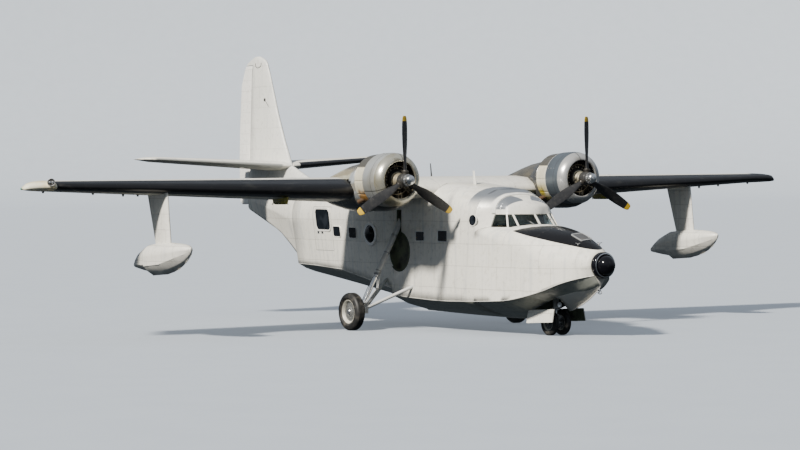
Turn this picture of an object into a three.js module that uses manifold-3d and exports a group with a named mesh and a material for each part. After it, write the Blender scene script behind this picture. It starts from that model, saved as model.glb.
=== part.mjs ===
import * as THREE from 'three';
import { mergeVertices } from 'three/addons/utils/BufferGeometryUtils.js';
import Module from 'manifold-3d';

const wasm = await Module();
wasm.setup();

// A twin-engined amphibious flying boat standing on its wheels.
// Lengths are millimetres. +X is the bow, +Y port, +Z up, and the ground is z = 0.
const GAP = 0.3; // between pieces that touch
const RUNNING_GAP = 8; // between a control surface and its cove

const PLANT_Y = 2920; // engine centre lines either side of the hull
const PLANT_Z = 4000;
const TYRE_R = 508;
const TYRE_SIDES = 24;
const AXLE_Z = TYRE_R * Math.cos(Math.PI / TYRE_SIDES); // a flat of the tread lies on the ground
const TRACK_Y = 2690;
const MAIN_X = 1370;
const NOSE_X = 6900;
const NOSE_TYRE_R = 330;
const NOSE_TYRE_SIDES = 20;
const NOSE_AXLE_Z = NOSE_TYRE_R * Math.cos(Math.PI / NOSE_TYRE_SIDES);
const FLOAT_Y = 8500;

// Points and faces

function closedMesh(points, index) {
  let volume = 0;
  for (let i = 0; i < index.length; i += 3) {
    const [a, b, c] = [0, 1, 2].map((k) => points[index[i + k]]);
    volume += a.dot(b.clone().cross(c));
  }
  const faces = volume > 0 ? index : index.toReversed();
  const geometry = new THREE.BufferGeometry();
  const flat = points.flatMap((p) => [p.x, p.y, p.z]);
  geometry.setAttribute('position', new THREE.Float32BufferAttribute(flat, 3));
  geometry.setIndex(faces);
  return geometry;
}

// A skin over rings of equal count, with a fan over each end.
function loft(rings) {
  const count = rings[0].length;
  const points = rings.flat();
  const index = [];
  for (let ring = 0; ring + 1 < rings.length; ring++) {
    for (let j = 0; j < count; j++) {
      const a = ring * count + j;
      const b = ring * count + ((j + 1) % count);
      index.push(a, b, b + count, a, b + count, a + count);
    }
  }
  const last = (rings.length - 1) * count;
  const middle = (ring) => ring.reduce((sum, p) => sum.add(p), new THREE.Vector3()).divideScalar(count);
  const first = points.length;
  points.push(middle(rings[0]), middle(rings.at(-1)));
  for (let j = 0; j < count; j++) {
    const next = (j + 1) % count;
    index.push(first, next, j);
    index.push(first + 1, last + j, last + next);
  }
  return closedMesh(points, index);
}

function box(x0, x1, y0, y1, z0, z1) {
  const geometry = new THREE.BoxGeometry(Math.abs(x1 - x0), Math.abs(y1 - y0), Math.abs(z1 - z0));
  return geometry.translate((x0 + x1) / 2, (y0 + y1) / 2, (z0 + z1) / 2);
}

function rod(from, to, radius, sides = 16, endRadius = radius) {
  const start = new THREE.Vector3(...from);
  const end = new THREE.Vector3(...to);
  const along = end.clone().sub(start);
  const geometry = new THREE.CylinderGeometry(endRadius, radius, along.length(), sides);
  const up = new THREE.Vector3(0, 1, 0);
  geometry.applyQuaternion(new THREE.Quaternion().setFromUnitVectors(up, along.normalize()));
  return geometry.translate(...start.add(end).divideScalar(2).toArray());
}

// A turned piece from [radius, distance along the axis] pairs.
function turned(profile, axis, centre, sides = 32) {
  const outline = profile.map(([radius, along]) => new THREE.Vector2(radius, along));
  const geometry = new THREE.LatheGeometry(outline, sides, Math.PI / sides);
  const up = new THREE.Vector3(0, 1, 0);
  geometry.applyQuaternion(new THREE.Quaternion().setFromUnitVectors(up, new THREE.Vector3(...axis)));
  return geometry.translate(...centre);
}

function solid(geometry) {
  const bare = geometry.clone();
  bare.deleteAttribute('normal');
  bare.deleteAttribute('uv');
  const merged = mergeVertices(bare, 1e-3);
  const index = Array.from(merged.index.array);
  const at = merged.attributes.position;
  const points = Array.from({ length: at.count }, (_, i) => new THREE.Vector3().fromBufferAttribute(at, i));
  const kept = [];
  for (let i = 0; i < index.length; i += 3) {
    const [a, b, c] = [index[i], index[i + 1], index[i + 2]];
    if (a !== b && b !== c && c !== a) kept.push(a, b, c);
  }
  const facing = closedMesh(points, kept);
  return new wasm.Manifold(new wasm.Mesh({
    numProp: 3,
    vertProperties: Float32Array.from(facing.attributes.position.array),
    triVerts: Uint32Array.from(facing.index.array),
  }));
}

const largest = (shape) => shape.decompose().sort((a, b) => b.volume() - a.volume())[0];
const joined = (...pieces) => pieces.slice(1).reduce((sum, piece) => sum.add(piece), pieces[0]);
const lofted = (rings) => solid(loft(rings));
const block = (...sides) => solid(box(...sides));
const bar = (...ends) => solid(rod(...ends));

const part = new THREE.Group();

function place(name, shape, { color, roughness = 0.6, metalness = 0.1 }) {
  const { vertProperties, triVerts } = shape.getMesh();
  const geometry = new THREE.BufferGeometry();
  geometry.setAttribute('position', new THREE.BufferAttribute(vertProperties, 3));
  geometry.setIndex(new THREE.BufferAttribute(triVerts, 1));
  geometry.computeVertexNormals();
  const mesh = new THREE.Mesh(geometry, new THREE.MeshStandardMaterial({ color, roughness, metalness }));
  mesh.name = name;
  part.add(mesh);
}

const SIDES = [['port', 1], ['starboard', -1]];

// Finishes
const WHITE = { color: 0xe6e3d8, roughness: 0.5 };
const BLACK = { color: 0x17181a, roughness: 0.55 };
const METAL = { color: 0xb4b6b8, roughness: 0.35, metalness: 0.9 };
const STEEL = { color: 0x8c9094, roughness: 0.4, metalness: 0.9 };
const ENGINE = { color: 0x3a3733, roughness: 0.6, metalness: 0.6 };
const GREY_GREEN = { color: 0x767a6b, roughness: 0.6 };
const RUBBER = { color: 0x1c1c1c, roughness: 0.9 };
const GLASS = { color: 0x2a3238, roughness: 0.1 };
const LEATHER = { color: 0x5a4b38, roughness: 0.8 };
const OLIVE = { color: 0x8f8a4e, roughness: 0.6 };

// A table with rows added between its rows, on curves that stay between the values they join.
function finer(table, added) {
  const slopeAt = (row, column) => {
    const step = (i) => (table[i + 1][column] - table[i][column]) / (table[i + 1][0] - table[i][0]);
    if (row === 0) return step(0);
    if (row === table.length - 1) return step(row - 1);
    const [before, after] = [step(row - 1), step(row)];
    return before * after > 0 ? 2 / (1 / before + 1 / after) : 0;
  };
  const rowAt = (i, share) => table[i].map((value, column) => {
    const rise = table[i + 1][column] - value;
    if (column === 0) return value + rise * share;
    const length = table[i + 1][0] - table[i][0];
    const leaving = slopeAt(i, column) * length - rise;
    const arriving = rise - slopeAt(i + 1, column) * length;
    return value + rise * share + share * (1 - share) * (leaving * (1 - share) + arriving * share);
  });
  const shares = Array.from({ length: added + 1 }, (_, k) => k / (added + 1));
  return [...table.slice(0, -1).flatMap((_, i) => shares.map((share) => rowAt(i, share))), table.at(-1)];
}

const blend = (from, to, share) => from.map((value, i) => value + (to[i] - value) * share);

// Hull sections: a planing bottom from keel to knuckle to chine, a side, and a rounded top.
const TOP_ANGLES = [11, 23, 34, 45, 56, 67, 79].map((degrees) => THREE.MathUtils.degToRad(degrees));
const SIDE_SHARES = [0.1, 0.5, 0.9]; // points up the flat side

function hullRing(row, grow = 0) {
  const [x, keelZ, chineY, chineZ, sideY, sideZ, topZ, roundness, knuckleOut = 0.55, knuckleUp = 0.43] = row;
  const half = [
    [chineY * knuckleOut, keelZ + (chineZ - keelZ) * knuckleUp],
    [chineY, chineZ],
    ...SIDE_SHARES.map((share) => blend([chineY, chineZ], [sideY, sideZ], share)),
    [sideY, sideZ],
    ...TOP_ANGLES.map((angle) => [
      sideY * Math.cos(angle) ** roundness,
      sideZ + (topZ - sideZ) * Math.sin(angle) ** roundness,
    ]),
  ];
  const outline = [[0, keelZ], ...half, [0, topZ], ...half.toReversed().map(([y, z]) => [-y, z])];
  const middleZ = (keelZ + topZ) / 2;
  return outline.map(([y, z]) => {
    const reach = Math.hypot(y, z - middleZ);
    const scale = (reach + grow) / reach;
    return new THREE.Vector3(x, y * scale, middleZ + (z - middleZ) * scale);
  });
}

const hullLoft = (table, grow = 0) => lofted(table.map((row) => hullRing(row, grow)));

const BOW_X = 8800;
const BULKHEAD_X = 4950;
const STEP_X = 1015;
const HULL_JOINT_X = -200;
const SECOND_STEP_X = -4895;

// Columns: x, keel z, chine y, chine z, side y, side z, top z, roundness, and the knuckle's place
// between keel and chine as shares of the breadth and of the rise.
const BOW_SECTIONS = finer([
  [BOW_X, 1290, 200, 1575, 330, 1830, 2160, 1, 0.5, 0.5],
  [8500, 1070, 490, 1500, 500, 1820, 2340, 1, 0.43, 0.52],
  [8100, 850, 750, 1370, 740, 1820, 2500, 1.08, 0.35, 0.58],
  [7600, 660, 940, 1180, 940, 1900, 2660, 1.05, 0.32, 0.62],
  [6900, 500, 1100, 1000, 1080, 2150, 2770, 0.9, 0.29, 0.49],
  [6350, 430, 1170, 910, 1130, 2300, 2825, 0.85, 0.35, 0.35],
  [5900, 390, 1200, 880, 1150, 2400, 2850, 0.85, 0.45, 0.41],
  [BULKHEAD_X, 390, 1200, 840, 1157, 2600, 2890, 0.9, 0.55, 0.43],
], 2);
const MID_SECTIONS = [
  [BULKHEAD_X - GAP, 390, 1200, 840, 1150, 2900, 3760, 0.85],
  [4400, 392, 1200, 825, 1150, 2960, 3815, 0.8],
  [3600, 400, 1200, 810, 1150, 3050, 3900, 0.75],
  [2900, 412, 1200, 820, 1150, 3100, 3950, 0.75],
  [STEP_X, 455, 1170, 890, 1150, 3100, 3950, 0.75],
  [STEP_X - 10, 640, 1100, 1050, 1150, 3100, 3950, 0.75],
  [HULL_JOINT_X, 760, 1060, 1250, 1145, 3080, 3850, 0.75],
];
const AFT_SECTIONS = finer([
  [HULL_JOINT_X - GAP, 760, 1060, 1250, 1145, 3080, 3850, 0.75],
  [-1940, 1000, 960, 1520, 1100, 3020, 3830, 0.78],
  [-3540, 1200, 790, 1590, 960, 2960, 3810, 0.82],
  [SECOND_STEP_X, 1360, 570, 1610, 780, 2900, 3830, 0.88],
], 1);
const TAIL_SECTIONS = finer([
  [SECOND_STEP_X - GAP, 1610, 480, 1740, 780, 2900, 3830, 0.88],
  [-6300, 2330, 300, 2470, 500, 3120, 3890, 0.95],
  [-7400, 2700, 190, 2840, 320, 3300, 3930, 1],
  [-8640, 3130, 60, 3200, 110, 3480, 3960, 1],
], 1);

const SKIN = 70; // depth of the aft hull's frames and skin

const bowForm = hullLoft(BOW_SECTIONS);
const midForm = hullLoft(MID_SECTIONS);
const tailForm = hullLoft(TAIL_SECTIONS);
const midClear = hullLoft(MID_SECTIONS, 1);
const tailClear = hullLoft(TAIL_SECTIONS, 1);
const bowClear = hullLoft(BOW_SECTIONS, 1);

// A hull hollow, open at its forward bulkhead.
function hollowOf(table, endX) {
  const rows = table.filter(([x]) => x > endX);
  const [first, ...rest] = rows;
  const lead = [first[0] + 20, ...first.slice(1)];
  const last = table[rows.length];
  const previous = rows.at(-1);
  const stop = blend(previous, last, (endX - previous[0]) / (last[0] - previous[0]));
  return hullLoft([lead, ...rest, stop], -SKIN);
}

// Wing. Foil columns: share of the chord, upper and lower height as shares of the thickness.
const WING_FOIL = [
  [0.006, 0.14, 0.1], [0.03, 0.29, 0.21], [0.12, 0.5, 0.35], [0.32, 0.58, 0.42],
  [0.55, 0.48, 0.34], [0.8, 0.24, 0.17], [1, 0.02, 0.02],
];
const TAIL_FOIL = [
  [0.006, 0.12, 0.12], [0.03, 0.25, 0.25], [0.12, 0.42, 0.42], [0.32, 0.5, 0.5],
  [0.55, 0.42, 0.42], [0.8, 0.2, 0.2], [1, 0.03, 0.03],
];

function foil(shape, leadX, trailX, thickness, grow = 0) {
  const chord = leadX - trailX;
  const upper = shape.map(([share, up]) => [leadX - chord * share, up * thickness + grow]);
  const lower = shape.map(([share, , down]) => [leadX - chord * share, -down * thickness - grow]);
  upper.at(-1)[0] -= grow;
  lower.at(-1)[0] -= grow;
  return [[leadX + grow, 0], ...upper, ...lower.toReversed()];
}

const CENTRE_HALF = 3700;
const CENTRE_LEAD_X = 2900;
const CENTRE_TRAIL_X = -1000;
const WING_Z = 3720;
const ROOT_THICKNESS = 640;

// Columns: y, leading edge x, trailing edge x, middle z, thickness.
const CENTRE_SECTIONS = [
  [-CENTRE_HALF, CENTRE_LEAD_X, CENTRE_TRAIL_X, WING_Z, ROOT_THICKNESS],
  [CENTRE_HALF, CENTRE_LEAD_X, CENTRE_TRAIL_X, WING_Z, ROOT_THICKNESS],
];
const OUTER_SECTIONS = [
  [CENTRE_HALF + GAP, CENTRE_LEAD_X, CENTRE_TRAIL_X, WING_Z, ROOT_THICKNESS],
  ...finer([
    [11300, 1530, -420, 3920, 285],
    [11560, 1500, -60, 3925, 275],
    [11820, 1455, 350, 3925, 250],
    [12060, 1385, 860, 3915, 195],
    [12190, 1290, 1150, 3885, 80],
  ], 1),
];
const wingRing = ([y, lead, trail, z, thickness], side, grow = 0) =>
  foil(WING_FOIL, lead, trail, thickness, grow).map(([x, up]) => new THREE.Vector3(x, y * side, z + up));
const wingLoft = (table, side = 1, grow = 0) => lofted(table.map((row) => wingRing(row, side, grow)));

const wingClear = wingLoft(CENTRE_SECTIONS, 1, GAP * 2);

// Control surfaces: a round nose on the hinge line, tapering to a thin trailing edge.
const NOSE_ANGLES = [100, 60, 20, -20, -60, -100].map((degrees) => THREE.MathUtils.degToRad(degrees));
const HINGE_PIN_R = 22;
const HINGE_PIN_REACH = 40;
const PIN_CLEAR = 0.9;
const END_GAP = 12;

// Columns of a surface's two ends: span place, hinge x, hinge height, nose radius, trailing edge x.
function surfaceOutline([, hingeX, , noseR, trailX]) {
  const nose = NOSE_ANGLES.map((angle) => [hingeX + noseR * Math.cos(angle), noseR * Math.sin(angle)]);
  return [...nose, [trailX, -8], [trailX, 8]];
}

function hingePoint(ends, side, place) {
  const [inner, outer] = ends;
  const at = blend(inner, outer, (place - inner[0]) / (outer[0] - inner[0]));
  return [at[1], place * side, at[2]];
}

function surface(ends, side) {
  const body = lofted(ends.map((end) => surfaceOutline(end).map(([x, up]) =>
    new THREE.Vector3(x, end[0] * side, end[2] + up))));
  const bores = ends.map(([y], i) => {
    const inward = i === 0 ? 1 : -1;
    const from = hingePoint(ends, side, y - inward * 30);
    const to = hingePoint(ends, side, y + inward * (HINGE_PIN_REACH + 20));
    return bar(from, to, HINGE_PIN_R + PIN_CLEAR, 16);
  });
  return bores.reduce((sum, bore) => sum.subtract(bore), body);
}

function cove(ends, side) {
  const [inner, outer] = ends;
  const rows = [[inner, -END_GAP], [outer, END_GAP]].map(([end, offset]) => {
    const [y, hingeX, hingeZ, noseR] = end;
    const wall = hingeX + noseR + RUNNING_GAP;
    const back = end[4] - 400;
    return [[wall, 500], [wall, -500], [back, -500], [back, 500]].map(([x, up]) =>
      new THREE.Vector3(x, (y + offset) * side, hingeZ + up));
  });
  return lofted(rows);
}

function hingePins(ends, side) {
  return ends.map(([y], i) => {
    const inward = i === 0 ? 1 : -1;
    const from = hingePoint(ends, side, y - inward * (END_GAP + 25));
    const to = hingePoint(ends, side, y + inward * HINGE_PIN_REACH);
    return bar(from, to, HINGE_PIN_R, 16);
  });
}

const hung = (carrier, ends, side) => joined(carrier.subtract(cove(ends, side)), ...hingePins(ends, side));

// Columns: y, hinge x, hinge z, nose radius, trailing edge x.
const INNER_FLAP = [
  [1270, -50, WING_Z + 20, 120, -1000],
  [3620, -50, WING_Z + 20, 120, -1000],
];
const OUTER_FLAP = [
  [3780, -50, WING_Z + 22, 120, -995],
  [7180, 10, WING_Z + 90, 90, -745],
];
const AILERON = [
  [7290, 12, WING_Z + 92, 88, -735],
  [11180, 70, WING_Z + 172, 52, -432],
];

let wingCentre = wingLoft(CENTRE_SECTIONS);
for (const [, side] of SIDES) {
  wingCentre = hung(wingCentre, INNER_FLAP, side);
}
for (const [name, side] of SIDES) {
  const panel = hung(hung(wingLoft(OUTER_SECTIONS, side), OUTER_FLAP, side), AILERON, side);
  place(`wing_outer_${name}`, panel, WHITE);
  place(`flap_inner_${name}`, surface(INNER_FLAP, side), WHITE);
  place(`flap_outer_${name}`, surface(OUTER_FLAP, side), WHITE);
  place(`aileron_${name}`, surface(AILERON, side), WHITE);
}
place('wing_centre', wingCentre, WHITE);

// Fin and rudder. Columns: z, leading edge x, trailing edge x, thickness.
const FIN_FOOT_SECTIONS = [
  [3700, -4300, -9240, 330],
  [4060, -5100, -9240, 330],
  [4450, -6140, -9240, 320],
  [5210, -6540, -9200, 290],
  [6000, -6900, -9150, 250],
];
const FIN_TIP_SECTIONS = [
  [7170, -7350, -8950, 190],
  [7500, -7500, -8760, 165],
  [7620, -7610, -8540, 145],
  [7740, -7920, -8220, 70],
];
const FIN_SECTIONS = [...FIN_FOOT_SECTIONS, ...finer(FIN_TIP_SECTIONS, 1)];
const RUDDER_AXIS_X = -8570; // where the hinge line passes RUDDER_AXIS_Z
const RUDDER_AXIS_Z = 4600;
const RUDDER_RAKE = 0.0727;
const rudderHinge = (z) => RUDDER_AXIS_X + (z - RUDDER_AXIS_Z) * RUDDER_RAKE;

// Columns: z, nose radius, trailing edge x.
const RUDDER_SECTIONS = [
  [3300, 58, -9090],
  [3390, 60, -9225],
  [4560, 62, -9245],
  [5560, 54, -9190],
  [6890, 42, -9060],
  [7370, 36, -8840],
  [7470, 34, -8760],
];
const finRing = ([z, lead, trail, thickness], grow = 0) =>
  foil(TAIL_FOIL, lead, trail, thickness, grow).map(([x, y]) => new THREE.Vector3(x, y, z));
const rudderRing = ([z, noseR, trailX]) =>
  surfaceOutline([0, rudderHinge(z), 0, noseR, trailX]).map(([x, y]) => new THREE.Vector3(x, y, z));

const RUDDER_TOP = RUDDER_SECTIONS.at(-1)[0];
const RUDDER_FOOT = RUDDER_SECTIONS[0][0];
const rudderCove = lofted([[RUDDER_FOOT - END_GAP, 66], [RUDDER_TOP + END_GAP, 38]].map(([z, noseR]) => {
  const wall = rudderHinge(z) + noseR + RUNNING_GAP;
  return [[wall, 400], [wall, -400], [-9700, -400], [-9700, 400]].map(([x, y]) => new THREE.Vector3(x, y, z));
}));
const onHinge = (z) => [rudderHinge(z), 0, z];
const TOP_PIN_R = 16;
const topPinEnds = [onHinge(RUDDER_TOP + END_GAP + 15), onHinge(RUDDER_TOP - HINGE_PIN_REACH)];
const rudderTopPin = bar(...topPinEnds, TOP_PIN_R, 16);
const footPinEnds = [onHinge(RUDDER_FOOT - END_GAP - 10), onHinge(RUDDER_FOOT + HINGE_PIN_REACH)];
const rudderFootPin = bar(...footPinEnds, HINGE_PIN_R, 16);

const finForm = lofted(FIN_SECTIONS.map((row) => finRing(row)));
const finClear = lofted(FIN_SECTIONS.map((row) => finRing(row, GAP * 2)));
const aftClear = hullLoft(AFT_SECTIONS, 1);
const fin = joined(finForm.subtract(rudderCove), rudderTopPin).subtract(tailClear).subtract(aftClear);

const topBore = [onHinge(RUDDER_TOP + 20), onHinge(RUDDER_TOP - HINGE_PIN_REACH - 20)];
const footBore = [onHinge(RUDDER_FOOT - 20), onHinge(RUDDER_FOOT + HINGE_PIN_REACH + 20)];
const rudder = lofted(RUDDER_SECTIONS.map(rudderRing))
  .subtract(bar(...topBore, TOP_PIN_R + PIN_CLEAR, 16))
  .subtract(bar(...footBore, HINGE_PIN_R + PIN_CLEAR, 16));

// The sternpost bracket carries the foot of the rudder.
const BRACKET = { foreX: -8560, pastHinge: 40, half: 30, depth: 70 };
const footZ = RUDDER_FOOT - END_GAP;
const bracketAft = rudderHinge(footZ) - BRACKET.pastHinge;
const sternBracket = block(BRACKET.foreX, bracketAft, -BRACKET.half, BRACKET.half, footZ - BRACKET.depth, footZ);

place('fin', fin, WHITE);
place('rudder', rudder, WHITE);

// Tailplane and elevators. Columns: y, leading edge x, trailing edge x, middle z, thickness.
const TAILPLANE_SECTIONS = [
  [60, -6120, -8800, 4450, 300],
  [4000, -6910, -8228, 4662, 164],
  [4220, -7000, -8100, 4674, 118],
  [4300, -7170, -7850, 4678, 50],
];
const ELEVATOR = [
  [270, -7720, 4461, 64, -8770],
  [3960, -7720, 4659.5, 39, -8236],
];
const tailRing = ([y, lead, trail, z, thickness], side) =>
  foil(TAIL_FOIL, lead, trail, thickness).map(([x, up]) => new THREE.Vector3(x, y * side, z + up));

const rudderRoom = block(-9900, -8440, -400, 400, 4000, 5000); // where the rudder swings between the halves
for (const [name, side] of SIDES) {
  const half = lofted(TAILPLANE_SECTIONS.map((row) => tailRing(row, side))).subtract(finClear);
  place(`tailplane_${name}`, hung(half, ELEVATOR, side).subtract(rudderRoom), WHITE);
  place(`elevator_${name}`, surface(ELEVATOR, side), WHITE);
}

// Cockpit. Columns: z, centre x, corner x, corner y, post x, post y, aft x, aft y, rear y.
const COCKPIT_FOOT = [2560, 6380, 6190, 610, 5990, 850, 5290, 960, 1150];
const SILL = [2760, 6330, 6140, 580, 5950, 810, 5270, 900, 1150];
const HEAD = [3100, 6030, 5830, 560, 5780, 720, 5330, 800, 1120];
const ROOF_SECTIONS = finer([
  [3260, 5980, 5810, 550, 5700, 700, 5320, 810, 1070],
  [3400, 5800, 5680, 480, 5580, 620, 5270, 760, 990],
  [3530, 5560, 5470, 380, 5380, 500, 5190, 640, 870],
  [3640, 5260, 5210, 280, 5170, 380, 5090, 480, 690],
  [3730, 5010, 5005, 160, 5000, 240, 4985, 330, 450],
], 1);
const COCKPIT_SECTIONS = [COCKPIT_FOOT, SILL, HEAD, ...ROOF_SECTIONS];
const CANOPY_WALL = 45;
const GLASS_WALL = 10;

// A ring has a point between each two posts. It lies straight between them at the panes and below.
// Above them it swells out ahead of the post until the front of the roof is round.
const POST = 2; // its place in a ring, after the centre and the corner
const SWELL_FROM_Z = 3140;
const SWELL_FULL_Z = 3450;

function cockpitRing([z, centreX, cornerX, cornerY, postX, postY, aftX, aftY, rearY], inset = 0, ends = {}) {
  const { rearX = BULKHEAD_X, aftBack = 0, open = false } = ends;
  const posts = [
    [centreX - inset * 1.2, 0],
    [cornerX - inset, cornerY - inset * 0.6],
    [postX - inset * 0.6, postY - inset],
    [aftX - aftBack, aftY - inset],
    ...(open ? [] : [[rearX, rearY - inset]]),
  ];
  const swell = THREE.MathUtils.clamp((z - SWELL_FROM_Z) / (SWELL_FULL_Z - SWELL_FROM_Z), 0, 1);
  const half = posts.flatMap((post, i) => {
    const next = posts[i + 1];
    if (!next) return [post];
    const before = posts[i - 1] ?? [next[0], -next[1]];
    const after = posts[i + 2] ?? next;
    const round = post.map((value, k) => (9 * (value + next[k]) - before[k] - after[k]) / 16);
    return [post, blend(blend(post, next, 0.5), round, i < POST ? swell : 0)];
  });
  const outline = [...half, ...half.slice(1).toReversed().map(([x, y]) => [x, -y])];
  return outline.map(([x, y]) => new THREE.Vector3(x, y, z));
}
const cockpitLoft = (rows, inset, ends) => lofted(rows.map((row) => cockpitRing(row, inset, ends)));

const canopyOuter = cockpitLoft(COCKPIT_SECTIONS);
const topRow = COCKPIT_SECTIONS.at(-3);
const innerRows = [...COCKPIT_SECTIONS.slice(0, -3), [topRow[0] - CANOPY_WALL, ...topRow.slice(1)]];
const canopyInner = cockpitLoft(innerRows, CANOPY_WALL, { rearX: BULKHEAD_X - 20 });

// Panes by the names of their corner posts, as [x, y] at the sill and at the head.
const [sillZ, sillCentre, sillCornerX, sillCornerY, sillPostX, sillPostY, sillAftX, sillAftY] = SILL;
const [headZ, headCentre, headCornerX, headCornerY, headPostX, headPostY, headAftX, headAftY] = HEAD;
const PANES = [
  [[sillCentre, 0], [sillCornerX, sillCornerY], [headCentre, 0], [headCornerX, headCornerY]],
  [[sillCornerX, sillCornerY], [sillPostX, sillPostY], [headCornerX, headCornerY], [headPostX, headPostY]],
  [[sillPostX, sillPostY], [sillAftX, sillAftY], [headPostX, headPostY], [headAftX, headAftY]],
];
const POST_HALF = 26;
const LEDGE = 5; // of frame between a pane's edge and the fold of the sill or the head
const PANE_CUT = 120; // how far the cutter reaches either side of a pane

function paneCutter([sillA, sillB, headA, headB], side) {
  const at = ([x, y], z) => new THREE.Vector3(x, y * side, z);
  const corners = [at(sillA, sillZ), at(sillB, sillZ), at(headB, headZ), at(headA, headZ)];
  const normal = corners[1].clone().sub(corners[0]).cross(corners[2].clone().sub(corners[0])).normalize();
  const toward = (corner, other, reach) => other.clone().sub(corner).setLength(reach);
  const shrunk = corners.map((corner, i) => {
    const along = corners[[1, 0, 3, 2][i]];
    const across = corners[[3, 2, 1, 0][i]];
    return corner.clone().add(toward(corner, along, POST_HALF)).add(toward(corner, across, LEDGE));
  });
  const moved = (depth) => shrunk.map((p) => p.clone().addScaledVector(normal, depth));
  return lofted([moved(PANE_CUT), moved(-PANE_CUT)]);
}

let canopy = canopyOuter.subtract(canopyInner).subtract(bowClear);
for (const [, side] of SIDES) {
  for (const pane of PANES) {
    canopy = canopy.subtract(paneCutter(pane, side));
  }
}
place('cockpit_canopy', canopy, WHITE);

// One band of glass lies inside the posts, open behind the side windows.
const GLASS_SECTIONS = COCKPIT_SECTIONS.slice(0, 4);
const GLASS_FOOT_Z = sillZ - 35;
const GLASS_TOP_Z = headZ + 30;
const glassOuter = cockpitLoft(GLASS_SECTIONS, CANOPY_WALL + 1, { open: true });
const glassInner = cockpitLoft(GLASS_SECTIONS, CANOPY_WALL + GLASS_WALL, { open: true, aftBack: 60 });
const glassRange = block(4500, 7000, -1500, 1500, GLASS_FOOT_Z, GLASS_TOP_Z);
place('cockpit_glazing', glassOuter.subtract(glassInner).intersect(glassRange).subtract(bowClear), GLASS);

// Bow with its cockpit well and the nose-gear well.
const FLOOR_Z = 1800;
const COCKPIT_FRONT_X = 6600;
const WELL = { aft: 6330, fore: 7480, half: 440, roof: 1350 };
const COAMING = 60; // width of the deck left inside the canopy's foot
const ROOM_TOP_Z = 2520;
const cockpitOpening = cockpitLoft([2500, 3000].map((z) => [z, ...COCKPIT_FOOT.slice(1)]), COAMING);
const roomAft = BULKHEAD_X + COAMING;
let bow = bowForm.subtract(block(roomAft, COCKPIT_FRONT_X, -900, 900, FLOOR_Z, ROOM_TOP_Z));
bow = bow.subtract(cockpitOpening.intersect(block(roomAft, 7000, -1200, 1200, 2400, 3100)));
bow = bow.subtract(block(WELL.aft, WELL.fore, -WELL.half, WELL.half, 0, WELL.roof));
place('hull_bow', bow, WHITE);

// Hull amidships, with the round wheel pockets and the leg channels in its sides.
const POCKET_R = 545;
const POCKET_Z = 2070;
const POCKET_DEPTH = 200;
const CHANNEL_HALF = 110;
let mid = midForm;
for (const [, side] of SIDES) {
  const inner = (1150 - POCKET_DEPTH) * side;
  mid = mid.subtract(bar([MAIN_X, inner, POCKET_Z], [MAIN_X, 1500 * side, POCKET_Z], POCKET_R, 24));
  mid = mid.subtract(block(MAIN_X - CHANNEL_HALF, MAIN_X + CHANNEL_HALF, inner, 1500 * side, POCKET_Z, 3200));
}
mid = mid.subtract(wingClear);
place('hull_mid', mid, WHITE);
place('hull_aft', hullLoft(AFT_SECTIONS).subtract(hollowOf(AFT_SECTIONS, SECOND_STEP_X + SKIN))
  .subtract(wingClear), WHITE);
place('hull_tail', joined(tailForm.subtract(hollowOf(TAIL_SECTIONS, -7000)), sternBracket)
  .subtract(rudderCove).add(rudderFootPin), WHITE);

// Nose ring and its dark ball.
const BALL_R = 250;
const BALL_X = 8995;
const BALL_Z = 1830;
const ball = solid(new THREE.SphereGeometry(BALL_R, 28, 16).rotateZ(Math.PI / 2).translate(BALL_X, 0, BALL_Z))
  .intersect(block(BOW_X + GAP, 9600, -400, 400, 1400, 2300));
place('nose_radome', ball, BLACK);
const RING_PROFILE = [[256, 0], [300, 0], [330, 40], [330, 150], [310, 200], [262, 200], [256, 190], [256, 0]];
place('nose_ring', solid(turned(RING_PROFILE, [1, 0, 0], [BOW_X + GAP, 0, BALL_Z], 32)), STEEL);

// Power plants: nacelle, flap band, cowl, nine-cylinder radial and three-blade propeller.
const FIREWALL_X = 3000;
const BAND_X = 3440;
const COWL_PROFILE = [
  [505, 745], [480, 690], [560, 560], [685, 400], [685, 0],
  [705, 0], [715, 380], [695, 540], [630, 670], [560, 735], [505, 745],
];
const BAND_LENGTH = BAND_X - FIREWALL_X - GAP;
const BAND_PROFILE = [[640, 0], [680, BAND_LENGTH], [700, BAND_LENGTH], [665, 0], [640, 0]];
// Columns: x, half width, middle z, half height.
const NACELLE_SECTIONS = finer([
  [FIREWALL_X - GAP, 665, 3960, 690],
  [2600, 620, 3830, 655],
  [2000, 530, 3795, 605],
  [1270, 390, 3760, 465],
  [600, 210, 3735, 310],
  [200, 60, 3740, 120],
], 1);
const NACELLE_SIDES = 32;
const COWL_SIDES = 40;

function nacelleRing([x, halfWidth, middleZ, halfHeight], side) {
  return Array.from({ length: NACELLE_SIDES }, (_, i) => {
    const angle = (i / NACELLE_SIDES) * 2 * Math.PI;
    const y = PLANT_Y * side + halfWidth * Math.cos(angle);
    return new THREE.Vector3(x, y, middleZ + halfHeight * Math.sin(angle));
  });
}

// The chin fairing under the band and the cowl. Columns: x, half width, depth of its floor z.
const CHIN_SECTIONS = [
  [FIREWALL_X, 300, 3190],
  [3500, 290, 3195],
  [3800, 270, 3225],
  [4050, 200, 3300],
];
const CHIN_TOP_Z = 3480;
const CHIN_ANGLES = [0, 30, 60, 90, 120, 150, 180].map((degrees) => THREE.MathUtils.degToRad(degrees));

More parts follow.
